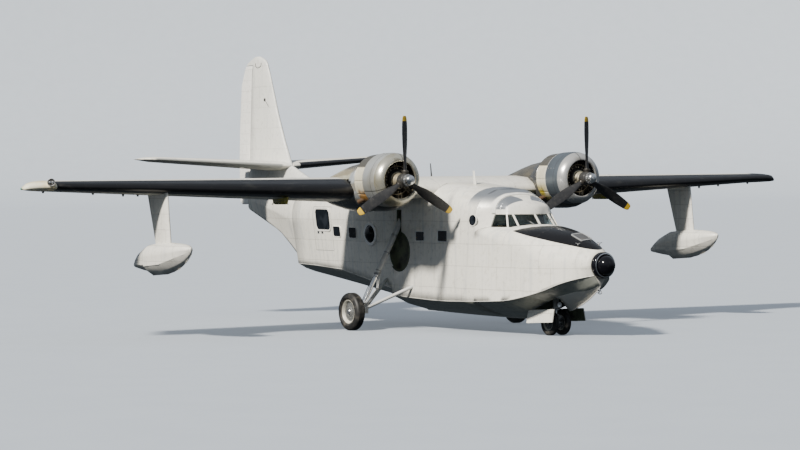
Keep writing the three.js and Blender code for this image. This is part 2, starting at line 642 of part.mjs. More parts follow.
// The part of the chin between two stations, clear of the room inside the ring that carries it.
function chin(side, fromX, toX, insideR) {
  const rows = CHIN_SECTIONS.map(([x, halfWidth, floorZ]) => CHIN_ANGLES.map((angle) => new THREE.Vector3(
    x, PLANT_Y * side + halfWidth * Math.cos(angle), CHIN_TOP_Z - (CHIN_TOP_Z - floorZ) * Math.sin(angle))));
  const y = PLANT_Y * side;
  const inside = bar([2000, y, PLANT_Z], [5000, y, PLANT_Z], insideR, COWL_SIDES);
  return lofted(rows).intersect(block(fromX, toX, y - 400, y + 400, 3000, CHIN_TOP_Z + 100)).subtract(inside);
}

const CRANKCASE_PROFILE = [
  [0, 0], [430, 0], [430, 60], [300, 250], [330, 560],
  [330, 900], [240, 1000], [190, 1120], [130, 1185], [0, 1185],
];
const CYLINDERS = { count: 9, x: 3760, foot: 260, head: 655, radius: 98 };
const SHAFT = { fromX: 4100, toX: 4330, radius: 60 };
const PROP_X = 4390;
const HUB_PROFILE = [
  [0, -190], [150, -190], [190, -120], [190, 80], [150, 130], [150, 250], [110, 310], [0, 325],
];
const BLADE_TURNS = [90, 210, 330].map((degrees) => THREE.MathUtils.degToRad(degrees));
// Blade columns: radius, chord, thickness, pitch in degrees.
const BLADE_SECTIONS = [
  [120, 130, 110, 60],
  [330, 150, 90, 50],
  [700, 265, 46, 36],
  [1200, 260, 28, 25],
  [1560, 200, 18, 19],
  [1660, 110, 12, 18],
];

// Shares of the chord and of the thickness.
const BLADE_OUTLINE = [
  [0.5, 0], [0.3, 0.4], [0, 0.5], [-0.3, 0.35], [-0.5, 0], [-0.3, -0.35], [0, -0.5], [0.3, -0.4],
];

function bladeRing([radius, chord, thickness, pitch], turn, centre) {
  const tilt = THREE.MathUtils.degToRad(pitch);
  return BLADE_OUTLINE.map(([along, up]) => {
    const around = along * chord * Math.cos(tilt) - up * thickness * Math.sin(tilt);
    const fore = along * chord * Math.sin(tilt) + up * thickness * Math.cos(tilt);
    const y = radius * Math.cos(turn) - around * Math.sin(turn);
    const z = radius * Math.sin(turn) + around * Math.cos(turn);
    return new THREE.Vector3(fore, y, z).add(centre);
  });
}

for (const [name, side] of SIDES) {
  const y = PLANT_Y * side;
  const nacelle = lofted(NACELLE_SECTIONS.map((row) => nacelleRing(row, side))).subtract(wingClear);
  place(`nacelle_${name}`, nacelle, GREY_GREEN);
  const band = solid(turned(BAND_PROFILE, [1, 0, 0], [FIREWALL_X, y, PLANT_Z], COWL_SIDES));
  const cowl = solid(turned(COWL_PROFILE, [1, 0, 0], [BAND_X, y, PLANT_Z], COWL_SIDES));
  place(`cowl_flaps_${name}`, joined(band, chin(side, FIREWALL_X, BAND_X - GAP, 652)), WHITE);
  place(`cowl_${name}`, joined(cowl, chin(side, BAND_X, 4150, 686)), METAL);

  const crankcase = solid(turned(CRANKCASE_PROFILE, [1, 0, 0], [FIREWALL_X + GAP, y, PLANT_Z], 18));
  const shaft = bar([SHAFT.fromX, y, PLANT_Z], [SHAFT.toX, y, PLANT_Z], SHAFT.radius, 24);
  const barrels = Array.from({ length: CYLINDERS.count }, (_, i) => {
    const angle = Math.PI / 2 + (i / CYLINDERS.count) * 2 * Math.PI;
    const at = (radius) => [CYLINDERS.x, y + radius * Math.cos(angle), PLANT_Z + radius * Math.sin(angle)];
    return bar(at(CYLINDERS.foot), at(CYLINDERS.head), CYLINDERS.radius, 8);
  });
  place(`engine_${name}`, joined(crankcase, shaft, ...barrels), ENGINE);

  const centre = new THREE.Vector3(PROP_X, y, PLANT_Z);
  const hub = solid(turned(HUB_PROFILE, [1, 0, 0], [PROP_X, y, PLANT_Z], 16));
  const blades = BLADE_TURNS.map((turn) => lofted(BLADE_SECTIONS.map((row) => bladeRing(row, turn, centre))));
  const bore = bar([4150, y, PLANT_Z], [SHAFT.toX + 10, y, PLANT_Z], SHAFT.radius + 1, 24);
  place(`propeller_${name}`, joined(hub, ...blades).subtract(bore), BLACK);
}

// Wing floats on their broad struts. Columns: x, keel z, chine y, chine z, side y, side z, top z.
const FLOAT_SECTIONS = [...finer([
  [3100, 2240, 25, 2275, 40, 2310, 2375, 1],
  [2900, 2030, 130, 2190, 165, 2300, 2435, 1],
  [2500, 1820, 240, 2070, 270, 2250, 2470, 1],
  [1900, 1680, 290, 1930, 305, 2180, 2485, 1],
  [1080, 1630, 285, 1870, 300, 2130, 2420, 1],
], 1), ...finer([
  [1070, 1710, 275, 1890, 300, 2130, 2420, 1],
  [600, 1750, 215, 1890, 230, 2040, 2235, 1],
  [80, 1820, 25, 1850, 35, 1880, 1935, 1],
], 1)];
const floatRing = (row, side, grow = 0) =>
  hullRing(row, grow).map((p) => p.add(new THREE.Vector3(0, FLOAT_Y * side, 0)));
// Strut columns: z, fore x, aft x, thickness.
const STRUT_SECTIONS = [
  [2300, 2075, 1290, 130],
  [3900, 1890, 770, 150],
];

for (const [name, side] of SIDES) {
  const float = lofted(FLOAT_SECTIONS.map((row) => floatRing(row, side)));
  const clear = lofted(FLOAT_SECTIONS.map((row) => floatRing(row, side, 1)));
  const strut = lofted(STRUT_SECTIONS.map(([z, fore, aft, thickness]) =>
    foil(TAIL_FOIL, fore, aft, thickness).map(([x, y]) => new THREE.Vector3(x, FLOAT_Y * side + y, z))));
  const above = wingLoft(OUTER_SECTIONS, side, GAP * 2);
  const cut = strut.subtract(clear).subtract(above);
  const kept = largest(cut);
  place(`float_${name}`, float, WHITE);
  place(`float_strut_${name}`, kept, WHITE);
}

// Stores pylons under the outer wings.
const PYLON = { y: 5210, fore: 2200, aft: 1680, half: 90, floor: 3400 };
for (const [name, side] of SIDES) {
  const rows = [[PYLON.floor, 0], [PYLON.floor + 40, 90], [3700, 170]].map(([z, spread]) =>
    foil(TAIL_FOIL, PYLON.fore + spread, PYLON.aft - spread, PYLON.half * 2)
      .map(([x, y]) => new THREE.Vector3(x, PYLON.y * side + y, z)));
  const cut = lofted(rows).subtract(wingLoft(OUTER_SECTIONS, side, GAP * 2));
  place(`stores_pylon_${name}`, largest(cut), OLIVE);
}

// Main gear: a long oleo leg from high on the hull side and a V of tubes from above the chine.
const AXLE_R = 45;
const KNUCKLE_Y = 2420;
const AXLE_END_Y = TRACK_Y + 90;
const LEG_TOP = { y: 1000, z: 3080 };
const TRUSS_FEET = [[2080, 1100, 1180], [640, 1100, 1300]]; // x, y, z inside the hull side
const BORE_CLEAR = 0.6;
const TYRE_PROFILE = [
  [300, -95], [380, -148], [470, -130], [TYRE_R, -55],
  [TYRE_R, 55], [470, 130], [380, 148], [300, 95], [300, -95],
];
const BORE_R = AXLE_R + BORE_CLEAR;
const WHEEL_PROFILE = [
  [BORE_R, -110], [110, -110], [130, -50], [260, -50], [299.4, -100],
  [299.4, 100], [260, 50], [130, 50], [110, 80], [BORE_R, 80], [BORE_R, -110],
];

for (const [name, side] of SIDES) {
  const knuckle = [MAIN_X, KNUCKLE_Y * side, AXLE_Z];
  const upper = [MAIN_X, LEG_TOP.y * side, LEG_TOP.z];
  const between = (share) => upper.map((value, i) => value + (knuckle[i] - value) * share);
  const leg = joined(
    bar(upper, between(0.62), 78, 16),
    bar(between(0.6), knuckle, 56, 12),
    bar([MAIN_X, (KNUCKLE_Y - 75) * side, AXLE_Z], [MAIN_X, (KNUCKLE_Y + 80) * side, AXLE_Z], 95, 16),
    bar(knuckle, [MAIN_X, AXLE_END_Y * side, AXLE_Z], AXLE_R, 24),
  );
  place(`main_leg_${name}`, leg.subtract(midClear), STEEL);

  const truss = TRUSS_FEET.map(([x, footY, z]) =>
    bar([x, footY * side, z], [MAIN_X, (KNUCKLE_Y - 130) * side, AXLE_Z + 60], 48, 12));
  const lug = block(MAIN_X - 90, MAIN_X + 90, (KNUCKLE_Y - 200) * side, (KNUCKLE_Y - 75 - GAP) * side,
    AXLE_Z - 60, AXLE_Z + 130);
  const clearLeg = bar(between(0.5), knuckle, 80, 16);
  place(`main_truss_${name}`, joined(...truss, lug).subtract(midClear).subtract(clearLeg), STEEL);

  const hubAt = [MAIN_X, TRACK_Y * side, AXLE_Z];
  place(`main_tyre_${name}`, solid(turned(TYRE_PROFILE, [0, 1, 0], hubAt, TYRE_SIDES)), RUBBER);
  place(`main_wheel_${name}`, solid(turned(WHEEL_PROFILE, [0, side, 0], hubAt, TYRE_SIDES)), METAL);
}

// Nose gear: a fixed outer leg, a steered strut with its axle, and twin wheels.
const NOSE_TWIN_Y = 190;
const PISTON_R = 45;
const NOSE_AXLE_R = 28;
const NOSE_LEG = { foot: 640, radius: 80, boreTop: 1000, pistonTop: 960 };
const NOSE_BRACE = { footZ: 900, radius: 34, inset: 60 };
const KNUCKLE = { half: 75, radius: 65 };
const onLeg = (z) => [NOSE_X, 0, z];
const onAxle = (y) => [NOSE_X, y, NOSE_AXLE_Z];
const legBore = (radius) => bar(onLeg(NOSE_LEG.foot - 40), onLeg(NOSE_LEG.boreTop), radius, 20);
const noseOuter = bar(onLeg(NOSE_LEG.foot), onLeg(WELL.roof - GAP), NOSE_LEG.radius, 20)
  .subtract(legBore(PISTON_R + 0.8));
const braceFoot = [NOSE_X - NOSE_BRACE.inset, 0, NOSE_BRACE.footZ];
const braceHead = [WELL.aft + NOSE_BRACE.inset, 0, WELL.roof - NOSE_BRACE.inset];
const noseBrace = bar(braceFoot, braceHead, NOSE_BRACE.radius, 12).subtract(legBore(NOSE_LEG.radius - 20));
const braceLug = block(WELL.aft + GAP, WELL.aft + 100, -50, 50, WELL.roof - 120, WELL.roof - 20);
place('nose_leg', joined(noseOuter, noseBrace, braceLug), STEEL);
const axleHalf = NOSE_TWIN_Y + 70;
place('nose_strut', joined(
  bar(onLeg(NOSE_AXLE_Z), onLeg(NOSE_LEG.pistonTop), PISTON_R, 20),
  bar(onAxle(-KNUCKLE.half), onAxle(KNUCKLE.half), KNUCKLE.radius, 20),
  bar(onAxle(-axleHalf), onAxle(axleHalf), NOSE_AXLE_R, 20),
), STEEL);

const NOSE_TYRE_PROFILE = [
  [190, -60], [250, -82], [310, -65], [NOSE_TYRE_R, -30],
  [NOSE_TYRE_R, 30], [310, 65], [250, 82], [190, 60], [190, -60],
];
const NOSE_BORE_R = NOSE_AXLE_R + BORE_CLEAR;
const NOSE_WHEEL_PROFILE = [
  [NOSE_BORE_R, -62], [60, -62], [75, -35], [189.4, -55], [189.4, 55],
  [75, 35], [60, 62], [NOSE_BORE_R, 62], [NOSE_BORE_R, -62],
];
for (const [name, side] of SIDES) {
  const at = [NOSE_X, NOSE_TWIN_Y * side, NOSE_AXLE_Z];
  place(`nose_tyre_${name}`, solid(turned(NOSE_TYRE_PROFILE, [0, 1, 0], at, NOSE_TYRE_SIDES)), RUBBER);
  place(`nose_wheel_${name}`, solid(turned(NOSE_WHEEL_PROFILE, [0, 1, 0], at, NOSE_TYRE_SIDES)), METAL);
  const hingeY = (WELL.half + 12) * side;
  const door = lofted([[WELL.aft + 20, 640], [WELL.fore - 20, 700]].map(([x, top]) =>
    [[hingeY, top], [hingeY + 24 * side, top], [hingeY + 84 * side, top - 330], [hingeY + 60 * side, top - 330]]
      .map(([y, z]) => new THREE.Vector3(x, y, z))));
  place(`nose_door_${name}`, door.subtract(bowClear), WHITE);
}

// Cockpit fittings.
const SEAT = { y: 430, half: 220, backX: 5180, frontX: 5700, panZ: 2080, topZ: 2860 };
for (const [name, side] of SIDES) {
  const y = SEAT.y * side;
  const pan = block(5240, SEAT.frontX, y - SEAT.half, y + SEAT.half, SEAT.panZ, SEAT.panZ + 110);
  const back = block(SEAT.backX, SEAT.backX + 90, y - SEAT.half, y + SEAT.half, SEAT.panZ, SEAT.topZ);
  const pedestal = block(5330, 5600, y - 130, y + 130, FLOOR_Z + GAP, SEAT.panZ + 20);
  place(`pilot_seat_${name}`, joined(pan, back, pedestal), LEATHER);
}
place('instrument_panel', block(6160, COCKPIT_FRONT_X - GAP, -760, 760, 2150, 2480), BLACK);

// Aerials on the roof and the centre wing.
const AERIAL_Y = -300;
// Columns: z, fore x, aft x, thickness.
const AERIAL_SECTIONS = [
  [3700, 3860, 3700, 60],
  [4230, 3740, 3650, 18],
];
const aerial = lofted(AERIAL_SECTIONS.map(([z, fore, aft, thickness]) =>
  foil(TAIL_FOIL, fore, aft, thickness).map(([x, y]) => new THREE.Vector3(x, y + AERIAL_Y, z))));
place('aerial_blade', aerial.subtract(midClear), WHITE);
const MAST = { foot: [520, 500, 3900], top: [450, 500, 4450], footR: 28, topR: 14 };
place('aerial_mast', bar(MAST.foot, MAST.top, MAST.footR, 12, MAST.topR).subtract(wingClear), BLACK);

export default part;
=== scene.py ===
import math

import bpy
from mathutils import Matrix, Vector
from mathutils.bvhtree import BVHTree


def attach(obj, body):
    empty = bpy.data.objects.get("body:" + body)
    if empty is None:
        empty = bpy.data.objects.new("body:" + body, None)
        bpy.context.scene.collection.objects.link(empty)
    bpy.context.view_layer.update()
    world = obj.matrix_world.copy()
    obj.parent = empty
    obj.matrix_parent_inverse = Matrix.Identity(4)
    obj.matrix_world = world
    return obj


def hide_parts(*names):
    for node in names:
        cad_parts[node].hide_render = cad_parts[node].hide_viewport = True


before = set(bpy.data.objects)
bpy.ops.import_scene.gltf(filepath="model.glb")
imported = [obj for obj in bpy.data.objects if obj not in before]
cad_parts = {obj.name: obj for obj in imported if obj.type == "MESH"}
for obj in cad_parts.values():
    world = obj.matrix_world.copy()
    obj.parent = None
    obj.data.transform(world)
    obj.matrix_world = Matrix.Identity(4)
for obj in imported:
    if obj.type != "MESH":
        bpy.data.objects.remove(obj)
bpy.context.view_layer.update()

# Camera.
# It stands 33 degrees off the bow on the starboard side, at the height of the wing and some 76 m away,
# and looks through a long lens, so that the near and far wings keep almost the same scale.
CAMERA_AT = (63.485, -41.611, 4.094)
LOOKING = Vector((-0.83762, 0.54598, -0.01763))
LENS, FILM_WIDTH = 123.6, 36
ROLL = -0.0104
FARTHEST = 2000
camera_data = bpy.data.cameras.new("camera")
camera_data.sensor_width = FILM_WIDTH
camera_data.lens = LENS
camera_data.clip_end = FARTHEST
camera = bpy.data.objects.new("camera", camera_data)
bpy.context.collection.objects.link(camera)
level = LOOKING.cross(Vector((0, 0, 1))).normalized()
across = level * math.cos(ROLL) + level.cross(LOOKING) * math.sin(ROLL)
upward = across.cross(LOOKING)
camera_turn = Matrix((across, upward, -LOOKING)).transposed().to_4x4()
camera.matrix_world = Matrix.Translation(CAMERA_AT) @ camera_turn
bpy.context.scene.camera = camera

# Floor and light.
# A plain pale studio floor that curves up into its own backdrop, so that no horizon shows. One soft sun
# stands high on the starboard side and the pale ceiling fills the shadows. The floor throws no light back
# up, so that the undersides stay as dark as they are over water.
FLOOR_RADIUS = 320
FLOOR_DROP = 0.002
BACKDROP_CURVE = 90
SUN_WAY = Vector((0.3, -0.85, 0.72)).normalized()
SUN_STRENGTH, SUN_WIDTH = 8.0, 5


def put(tree, kind, settings=None, fed=None):
    """One shader node. What is fed to an input is a value or the socket that it is wired from."""
    node = tree.nodes.new(kind)
    for key, value in (settings or {}).items():
        setattr(node, key, value)
    for key, value in (fed or {}).items():
        if isinstance(value, bpy.types.NodeSocket):
            tree.links.new(value, node.inputs[key])
        else:
            node.inputs[key].default_value = value
    return node


def finish_of(name):
    """A new material, with its tree and its Principled shader."""
    material = bpy.data.materials.new(name)
    material.use_nodes = True
    return material, material.node_tree, material.node_tree.nodes["Principled BSDF"]


def mixed(tree, share, first, second):
    """The first colour where share is 0, and the second where it is 1."""
    node = put(tree, "ShaderNodeMix", {"data_type": "RGBA"}, {0: share, 6: first, 7: second})
    return node.outputs[2]


bpy.ops.object.select_all(action="DESELECT")
bpy.ops.mesh.primitive_circle_add(vertices=96, radius=FLOOR_RADIUS, location=(0, 0, -FLOOR_DROP))
bowl = bpy.context.object
bowl.name = "studio_floor"
bpy.ops.object.transform_apply(location=True)
bpy.ops.object.mode_set(mode="EDIT")
bpy.ops.mesh.select_all(action="SELECT")
radius, height = FLOOR_RADIUS, 0
for degrees in range(10, 100, 10):
    turn = math.radians(degrees)
    wider = FLOOR_RADIUS + BACKDROP_CURVE * math.sin(turn)
    higher = BACKDROP_CURVE * (1 - math.cos(turn))
    bpy.ops.mesh.extrude_region_move(TRANSFORM_OT_translate={"value": (0, 0, higher - height)})
    bpy.ops.transform.resize(value=(wider / radius, wider / radius, 1), center_override=(0, 0, higher))
    radius, height = wider, higher
bpy.ops.mesh.select_all(action="DESELECT")
bpy.ops.object.mode_set(mode="OBJECT")
for edge in bowl.data.edges:
    edge.select = all(abs(bowl.data.vertices[end].co.z) < 0.01 for end in edge.vertices)
bpy.ops.object.mode_set(mode="EDIT")
bpy.ops.mesh.select_mode(type="EDGE")
bpy.ops.mesh.edge_face_add()
bpy.ops.object.mode_set(mode="OBJECT")
bpy.ops.object.shade_smooth()
floor_finish, tree, shader = finish_of("studio_floor")
room = put(tree, "ShaderNodeTexCoord").outputs["Object"]
grain = put(tree, "ShaderNodeTexNoise", fed={"Vector": room, "Scale": 0.6, "Detail": 3.0}).outputs["Fac"]
pale = mixed(tree, grain, (0.34, 0.38, 0.43, 1), (0.37, 0.41, 0.46, 1))
tree.links.new(pale, shader.inputs["Base Color"])
tree.links.new(pale, shader.inputs["Emission Color"])
shader.inputs["Emission Strength"].default_value = 0.4
shader.inputs["Roughness"].default_value = 0.95
bowl.data.materials.append(floor_finish)
bowl.visible_diffuse = False
bowl.visible_glossy = False

world = bpy.data.worlds.new("studio")
world.use_nodes = True
tree = world.node_tree
sky = put(tree, "ShaderNodeTexCoord").outputs["Generated"]
way_up = put(tree, "ShaderNodeSeparateXYZ", fed={0: sky}).outputs["Z"]
rise = put(tree, "ShaderNodeMapRange", fed={"Value": way_up, "From Min": -0.15, "From Max": 0.3}).outputs["Result"]
ceiling = mixed(tree, rise, (0.05, 0.06, 0.07, 1), (0.34, 0.38, 0.44, 1))
tree.links.new(ceiling, tree.nodes["Background"].inputs["Color"])
bpy.context.scene.world = world

lamp_data = bpy.data.lights.new("key", "SUN")
lamp_data.energy = SUN_STRENGTH
lamp_data.angle = math.radians(SUN_WIDTH)
lamp_data.color = (1.0, 0.95, 0.86)
lamp = bpy.data.objects.new("key", lamp_data)
bpy.context.collection.objects.link(lamp)
lamp.matrix_world = Matrix.Translation((10, -30, 25)) @ SUN_WAY.to_track_quat("Z", "Y").to_matrix().to_4x4()

# Hull skins.
# The hull is riveted aluminium plate over close frames, painted white and long weathered: rain has
# drawn grey streaks down the sides, and dirt gathers in the seams. The deck ahead of the windscreen is
# black against glare, and the cockpit well and the wheel pockets are in dull green primer.
def calc(tree, operation, *terms):
    """One step of arithmetic over the surface."""
    node = put(tree, "ShaderNodeMath", {"operation": operation}, dict(enumerate(terms)))
    return node.outputs[0]


def times(tree, first, second):
    return calc(tree, "MULTIPLY", first, second)


def plus(tree, first, second):
    return calc(tree, "ADD", first, second)


def less(tree, first, second):
    return calc(tree, "SUBTRACT", first, second)


def rest_of(tree, mask):
    """1 where the mask is 0, and 0 where it is 1."""
    return calc(tree, "SUBTRACT", 1.0, mask)


def fade(tree, value, low, high):
    """0 below low and 1 above high, with a soft step between."""
    node = put(tree, "ShaderNodeMapRange", {"interpolation_type": "SMOOTHSTEP"},
               {0: value, 1: low, 2: high})
    return node.outputs[0]


def mottle(tree, vector, scale, detail=4.0, stretch=None):
    """Noise over the piece, drawn out along an axis by stretch."""
    if stretch:
        vector = put(tree, "ShaderNodeMapping", fed={"Vector": vector, "Scale": stretch}).outputs[0]
    node = put(tree, "ShaderNodeTexNoise", fed={"Vector": vector, "Scale": scale, "Detail": detail})
    return node.outputs["Fac"]


def here(tree):
    """The place on the piece, whole and as its three lengths."""
    place = put(tree, "ShaderNodeTexCoord").outputs["Object"]
    return place, put(tree, "ShaderNodeSeparateXYZ", fed={0: place}).outputs


def rough_to(tree, shader, height, strength, distance):
    bump = put(tree, "ShaderNodeBump", fed={"Strength": strength, "Distance": distance, "Height": height})
    tree.links.new(bump.outputs[0], shader.inputs["Normal"])


def new_group(name, inputs, outputs):
    group = bpy.data.node_groups.new(name, "ShaderNodeTree")
    for label, kind, value in inputs:
        group.interface.new_socket(label, in_out="INPUT", socket_type=kind).default_value = value
    for label, kind in outputs:
        group.interface.new_socket(label, in_out="OUTPUT", socket_type=kind)
    return group, group.nodes.new("NodeGroupInput").outputs, group.nodes.new("NodeGroupOutput").inputs


FLOAT, VECTOR = "NodeSocketFloat", "NodeSocketVector"

# Riveted seams: how near a point is to the edge of a staggered plate, and to a rivet in the row beside it.
seams, given, out = new_group(
    "riveted_seams",
    [("Along", FLOAT, 0), ("Across", FLOAT, 0), ("Frame pitch", FLOAT, 1.0), ("Stringer pitch", FLOAT, 0.6),
     ("Seam width", FLOAT, 0.006), ("Rivet pitch", FLOAT, 0.06), ("Hidden", FLOAT, 0)],
    [("Seam", FLOAT), ("Rivet", FLOAT), ("Plate", FLOAT)])
row = calc(seams, "FLOOR", calc(seams, "DIVIDE", given["Across"], given["Stringer pitch"]))
stagger = times(seams, times(seams, row, 0.37), given["Frame pitch"])
lengthwise = plus(seams, given["Along"], stagger)
near = {}
for side, value, pitch in (("Along", lengthwise, "Frame pitch"), ("Across", given["Across"], "Stringer pitch")):
    turns = calc(seams, "DIVIDE", value, given[pitch])
    near[side] = times(seams, calc(seams, "PINGPONG", turns, 0.5), given[pitch])
near["Across"] = plus(seams, near["Across"], given["Hidden"])
closest = calc(seams, "MINIMUM", near["Along"], near["Across"])
seams.links.new(rest_of(seams, fade(seams, closest, 0.0, given["Seam width"])), out["Seam"])
dots = []
for side, other in (("Along", "Across"), ("Across", "Along")):
    off = less(seams, near[side], 0.02)
    turns = calc(seams, "DIVIDE", given[other], given["Rivet pitch"])
    step = times(seams, calc(seams, "PINGPONG", turns, 0.5), given["Rivet pitch"])
    reach = calc(seams, "SQRT", plus(seams, calc(seams, "POWER", off, 2.0), calc(seams, "POWER", step, 2.0)))
    dots.append(rest_of(seams, fade(seams, reach, 0.003, 0.007)))
seams.links.new(calc(seams, "MAXIMUM", *dots), out["Rivet"])
plate = put(seams, "ShaderNodeCombineXYZ",
            fed={0: calc(seams, "FLOOR", calc(seams, "DIVIDE", lengthwise, given["Frame pitch"])), 1: row}).outputs[0]
seams.links.new(put(seams, "ShaderNodeTexWhiteNoise", fed={0: plate}).outputs["Value"], out["Plate"])

# Weather: streaks down the sides, broad fading, fine dirt, and the slight dents of thin plate.
weather, given, out = new_group(
    "weather", [("Vector", VECTOR, (0, 0, 0))],
    [("Streaks", FLOAT), ("Fading", FLOAT), ("Dirt", FLOAT), ("Dents", FLOAT)])
spot = given["Vector"]
streak = mottle(weather, spot, 1.0, 5.0, (7.0, 7.0, 0.55))
weather.links.new(fade(weather, streak, 0.46, 0.72), out["Streaks"])
weather.links.new(fade(weather, mottle(weather, spot, 0.7, 3.0), 0.35, 0.7), out["Fading"])
weather.links.new(fade(weather, mottle(weather, spot, 9.0, 6.0), 0.5, 0.75), out["Dirt"])
weather.links.new(mottle(weather, spot, 2.6, 2.0), out["Dents"])


def painted(name, colour, streak_colour, dirt_colour, rough=0.4, second="Z", frame_pitch=0.95, stringer_pitch=0.58,
            streaks=0.45, over=None, dent=0.012, seam=0.4, roof=None):
    """Painted plate. over is given the tree, the place and its lengths, and returns what lies on the paint,
    as a list of (mask, colour, roughness), with a fourth value for bare metal. Above the height roof no
    seam runs lengthwise."""
    material, tree, shader = finish_of(name)
    place, split = here(tree)
    plates = put(tree, "ShaderNodeGroup", {"node_tree": seams},
                 {"Along": split["X"], "Across": split[second], "Frame pitch": frame_pitch,
                  "Stringer pitch": stringer_pitch, "Seam width": 0.011,
                  "Hidden": fade(tree, split["Z"], roof, roof + 0.02) if roof else 0.0}).outputs
    wear = put(tree, "ShaderNodeGroup", {"node_tree": weather}, {"Vector": place}).outputs
    duller = tuple(0.88 * part for part in colour[:3]) + (1,)
    tone = mixed(tree, times(tree, wear["Fading"], 0.5), colour, duller)
    tone = mixed(tree, times(tree, plates["Plate"], 0.3), tone, duller)
    tone = mixed(tree, times(tree, wear["Streaks"], streaks), tone, streak_colour)
    tone = mixed(tree, times(tree, wear["Dirt"], 0.22), tone, dirt_colour)
    tone = mixed(tree, times(tree, plates["Seam"], seam), tone, dirt_colour)
    tone = mixed(tree, times(tree, plates["Rivet"], 0.6 * seam), tone, dirt_colour)
    gloss = plus(tree, rough, times(tree, wear["Dirt"], 0.2))
    for mask, over_colour, over_rough, *bare in (over(tree, place, split) if over else []):
        tone = mixed(tree, mask, tone, over_colour)
        keep = rest_of(tree, mask)
        gloss = plus(tree, times(tree, gloss, keep), times(tree, mask, over_rough))
        if bare:
            tree.links.new(times(tree, mask, bare[0]), shader.inputs["Metallic"])
    tree.links.new(tone, shader.inputs["Base Color"])
    tree.links.new(gloss, shader.inputs["Roughness"])
    raised = less(tree, times(tree, plates["Rivet"], 0.003),
                  times(tree, plates["Seam"], 0.004))
    rough_to(tree, shader, plus(tree, raised, times(tree, wear["Dents"], dent)), 0.7, 1.0)
    shader.inputs["Coat Weight"].default_value = 0.15
    shader.inputs["Coat Roughness"].default_value = 0.2
    return material


def adjusted(material, label, value):
    """One setting of a finish's shader, the same all over the piece."""
    material.node_tree.nodes["Principled BSDF"].inputs[label].default_value = value


CREAM = (0.83, 0.81, 0.735, 1)
RAIN_GREY = (0.5, 0.52, 0.52, 1)
GRIME = (0.2, 0.185, 0.15, 1)
DECK_BLACK = (0.007, 0.007, 0.008, 1)
ROOF_METAL = ((0.5, 0.52, 0.54, 1), 0.3, 0.85)
REAR_HATCH = (-3.4, -2.26, 2.03, 3.26)


def between(tree, value, low, high, soft):
    """1 where the value lies between low and high."""
    return times(tree, fade(tree, value, low - soft, low + soft),
                rest_of(tree, fade(tree, value, high - soft, high + soft)))


def outline(tree, split, from_x, to_x, from_z, to_z):
    """The dark seam round a hatch."""
    outer = times(tree, between(tree, split["X"], from_x - 0.008, to_x + 0.008, 0.002),
                 between(tree, split["Z"], from_z - 0.008, to_z + 0.008, 0.002))
    inner = times(tree, between(tree, split["X"], from_x + 0.008, to_x - 0.008, 0.002),
                 between(tree, split["Z"], from_z + 0.008, to_z - 0.008, 0.002))
    return less(tree, outer, inner)


def roof_front(tree, place, split):
    """The roof ahead of the cabin is bare metal, which the white paint of the sides fades into. Oil has blown
    back under the wing root."""
    bare = times(tree, fade(tree, split["X"], 4.5, 4.53), fade(tree, split["Z"], 3.25, 3.6))
    blown = fade(tree, mottle(tree, place, 1.0, 5.0, (0.8, 1, 6)), 0.5, 0.7)
    oil = times(tree, fade(tree, split["Z"], 3.2, 3.75), blown)
    return [(outline(tree, split, *REAR_HATCH), (0.25, 0.25, 0.24, 1), 0.5),
            (times(tree, oil, 0.3), (0.42, 0.36, 0.22, 1), 0.45), (bare, *ROOF_METAL)]


ROOF_PLATE_Z = 3.3
hull_white = painted("hull_white", CREAM, RAIN_GREY, GRIME, over=roof_front, roof=ROOF_PLATE_Z)
DECK_EDGE_X, DECK_EDGE_Z, DECK_FALL, DECK_BACK_X = 6.28, 2.674, 0.19, 6.67


def deck_panel(tree, place, split):
    """The anti-glare panel: above a line that falls towards the bow, and ahead of a curve round the windscreen."""
    line = less(tree, DECK_EDGE_Z, times(tree, less(tree, split["X"], DECK_EDGE_X), DECK_FALL))
    above = fade(tree, less(tree, split["Z"], line), -0.004, 0.004)
    curve = plus(tree, split["X"], times(tree, calc(tree, "POWER", split["Y"], 2.0), 0.5))
    ahead = fade(tree, less(tree, curve, DECK_BACK_X), -0.004, 0.004)
    worn = fade(tree, mottle(tree, place, 5.0, 8.0, (1, 3, 1)), 0.62, 0.75)
    colour = mixed(tree, times(tree, worn, 0.35), DECK_BLACK, (0.06, 0.055, 0.05, 1))
    return [(times(tree, above, ahead), colour, 0.25)]


bow_white = painted("bow_white", CREAM, RAIN_GREY, GRIME, over=deck_panel)
adjusted(bow_white, "Specular IOR Level", 0.2)
adjusted(bow_white, "Coat Weight", 0.0)


def blotched(name, colour, other, scale, detail, low, high, rough, rougher=0.0, stretch=None):
    """A finish of two tones in soft blotches, which may be rougher than the rest. With the material come
    its tree, its shader, the place and the blotches, for what a piece adds to them."""
    material, tree, shader = finish_of(name)
    place, _ = here(tree)
    blotches = fade(tree, mottle(tree, place, scale, detail, stretch), low, high)
    tree.links.new(mixed(tree, blotches, colour, other), shader.inputs["Base Color"])
    if rougher:
        tree.links.new(plus(tree, rough, times(tree, blotches, rougher)), shader.inputs["Roughness"])
    else:
        shader.inputs["Roughness"].default_value = rough
    return material, tree, shader, place, blotches


primer, tree, shader, _, soiled = blotched(
    "green_primer", (0.12, 0.14, 0.085, 1), (0.045, 0.045, 0.035, 1), 4.0, 8.0, 0.4, 0.7, 0.7)
rough_to(tree, shader, soiled, 0.5, 0.01)


def only(piece):
    """The piece alone is selected and active."""
    bpy.ops.object.select_all(action="DESELECT")
    piece.select_set(True)
    bpy.context.view_layer.objects.active = piece


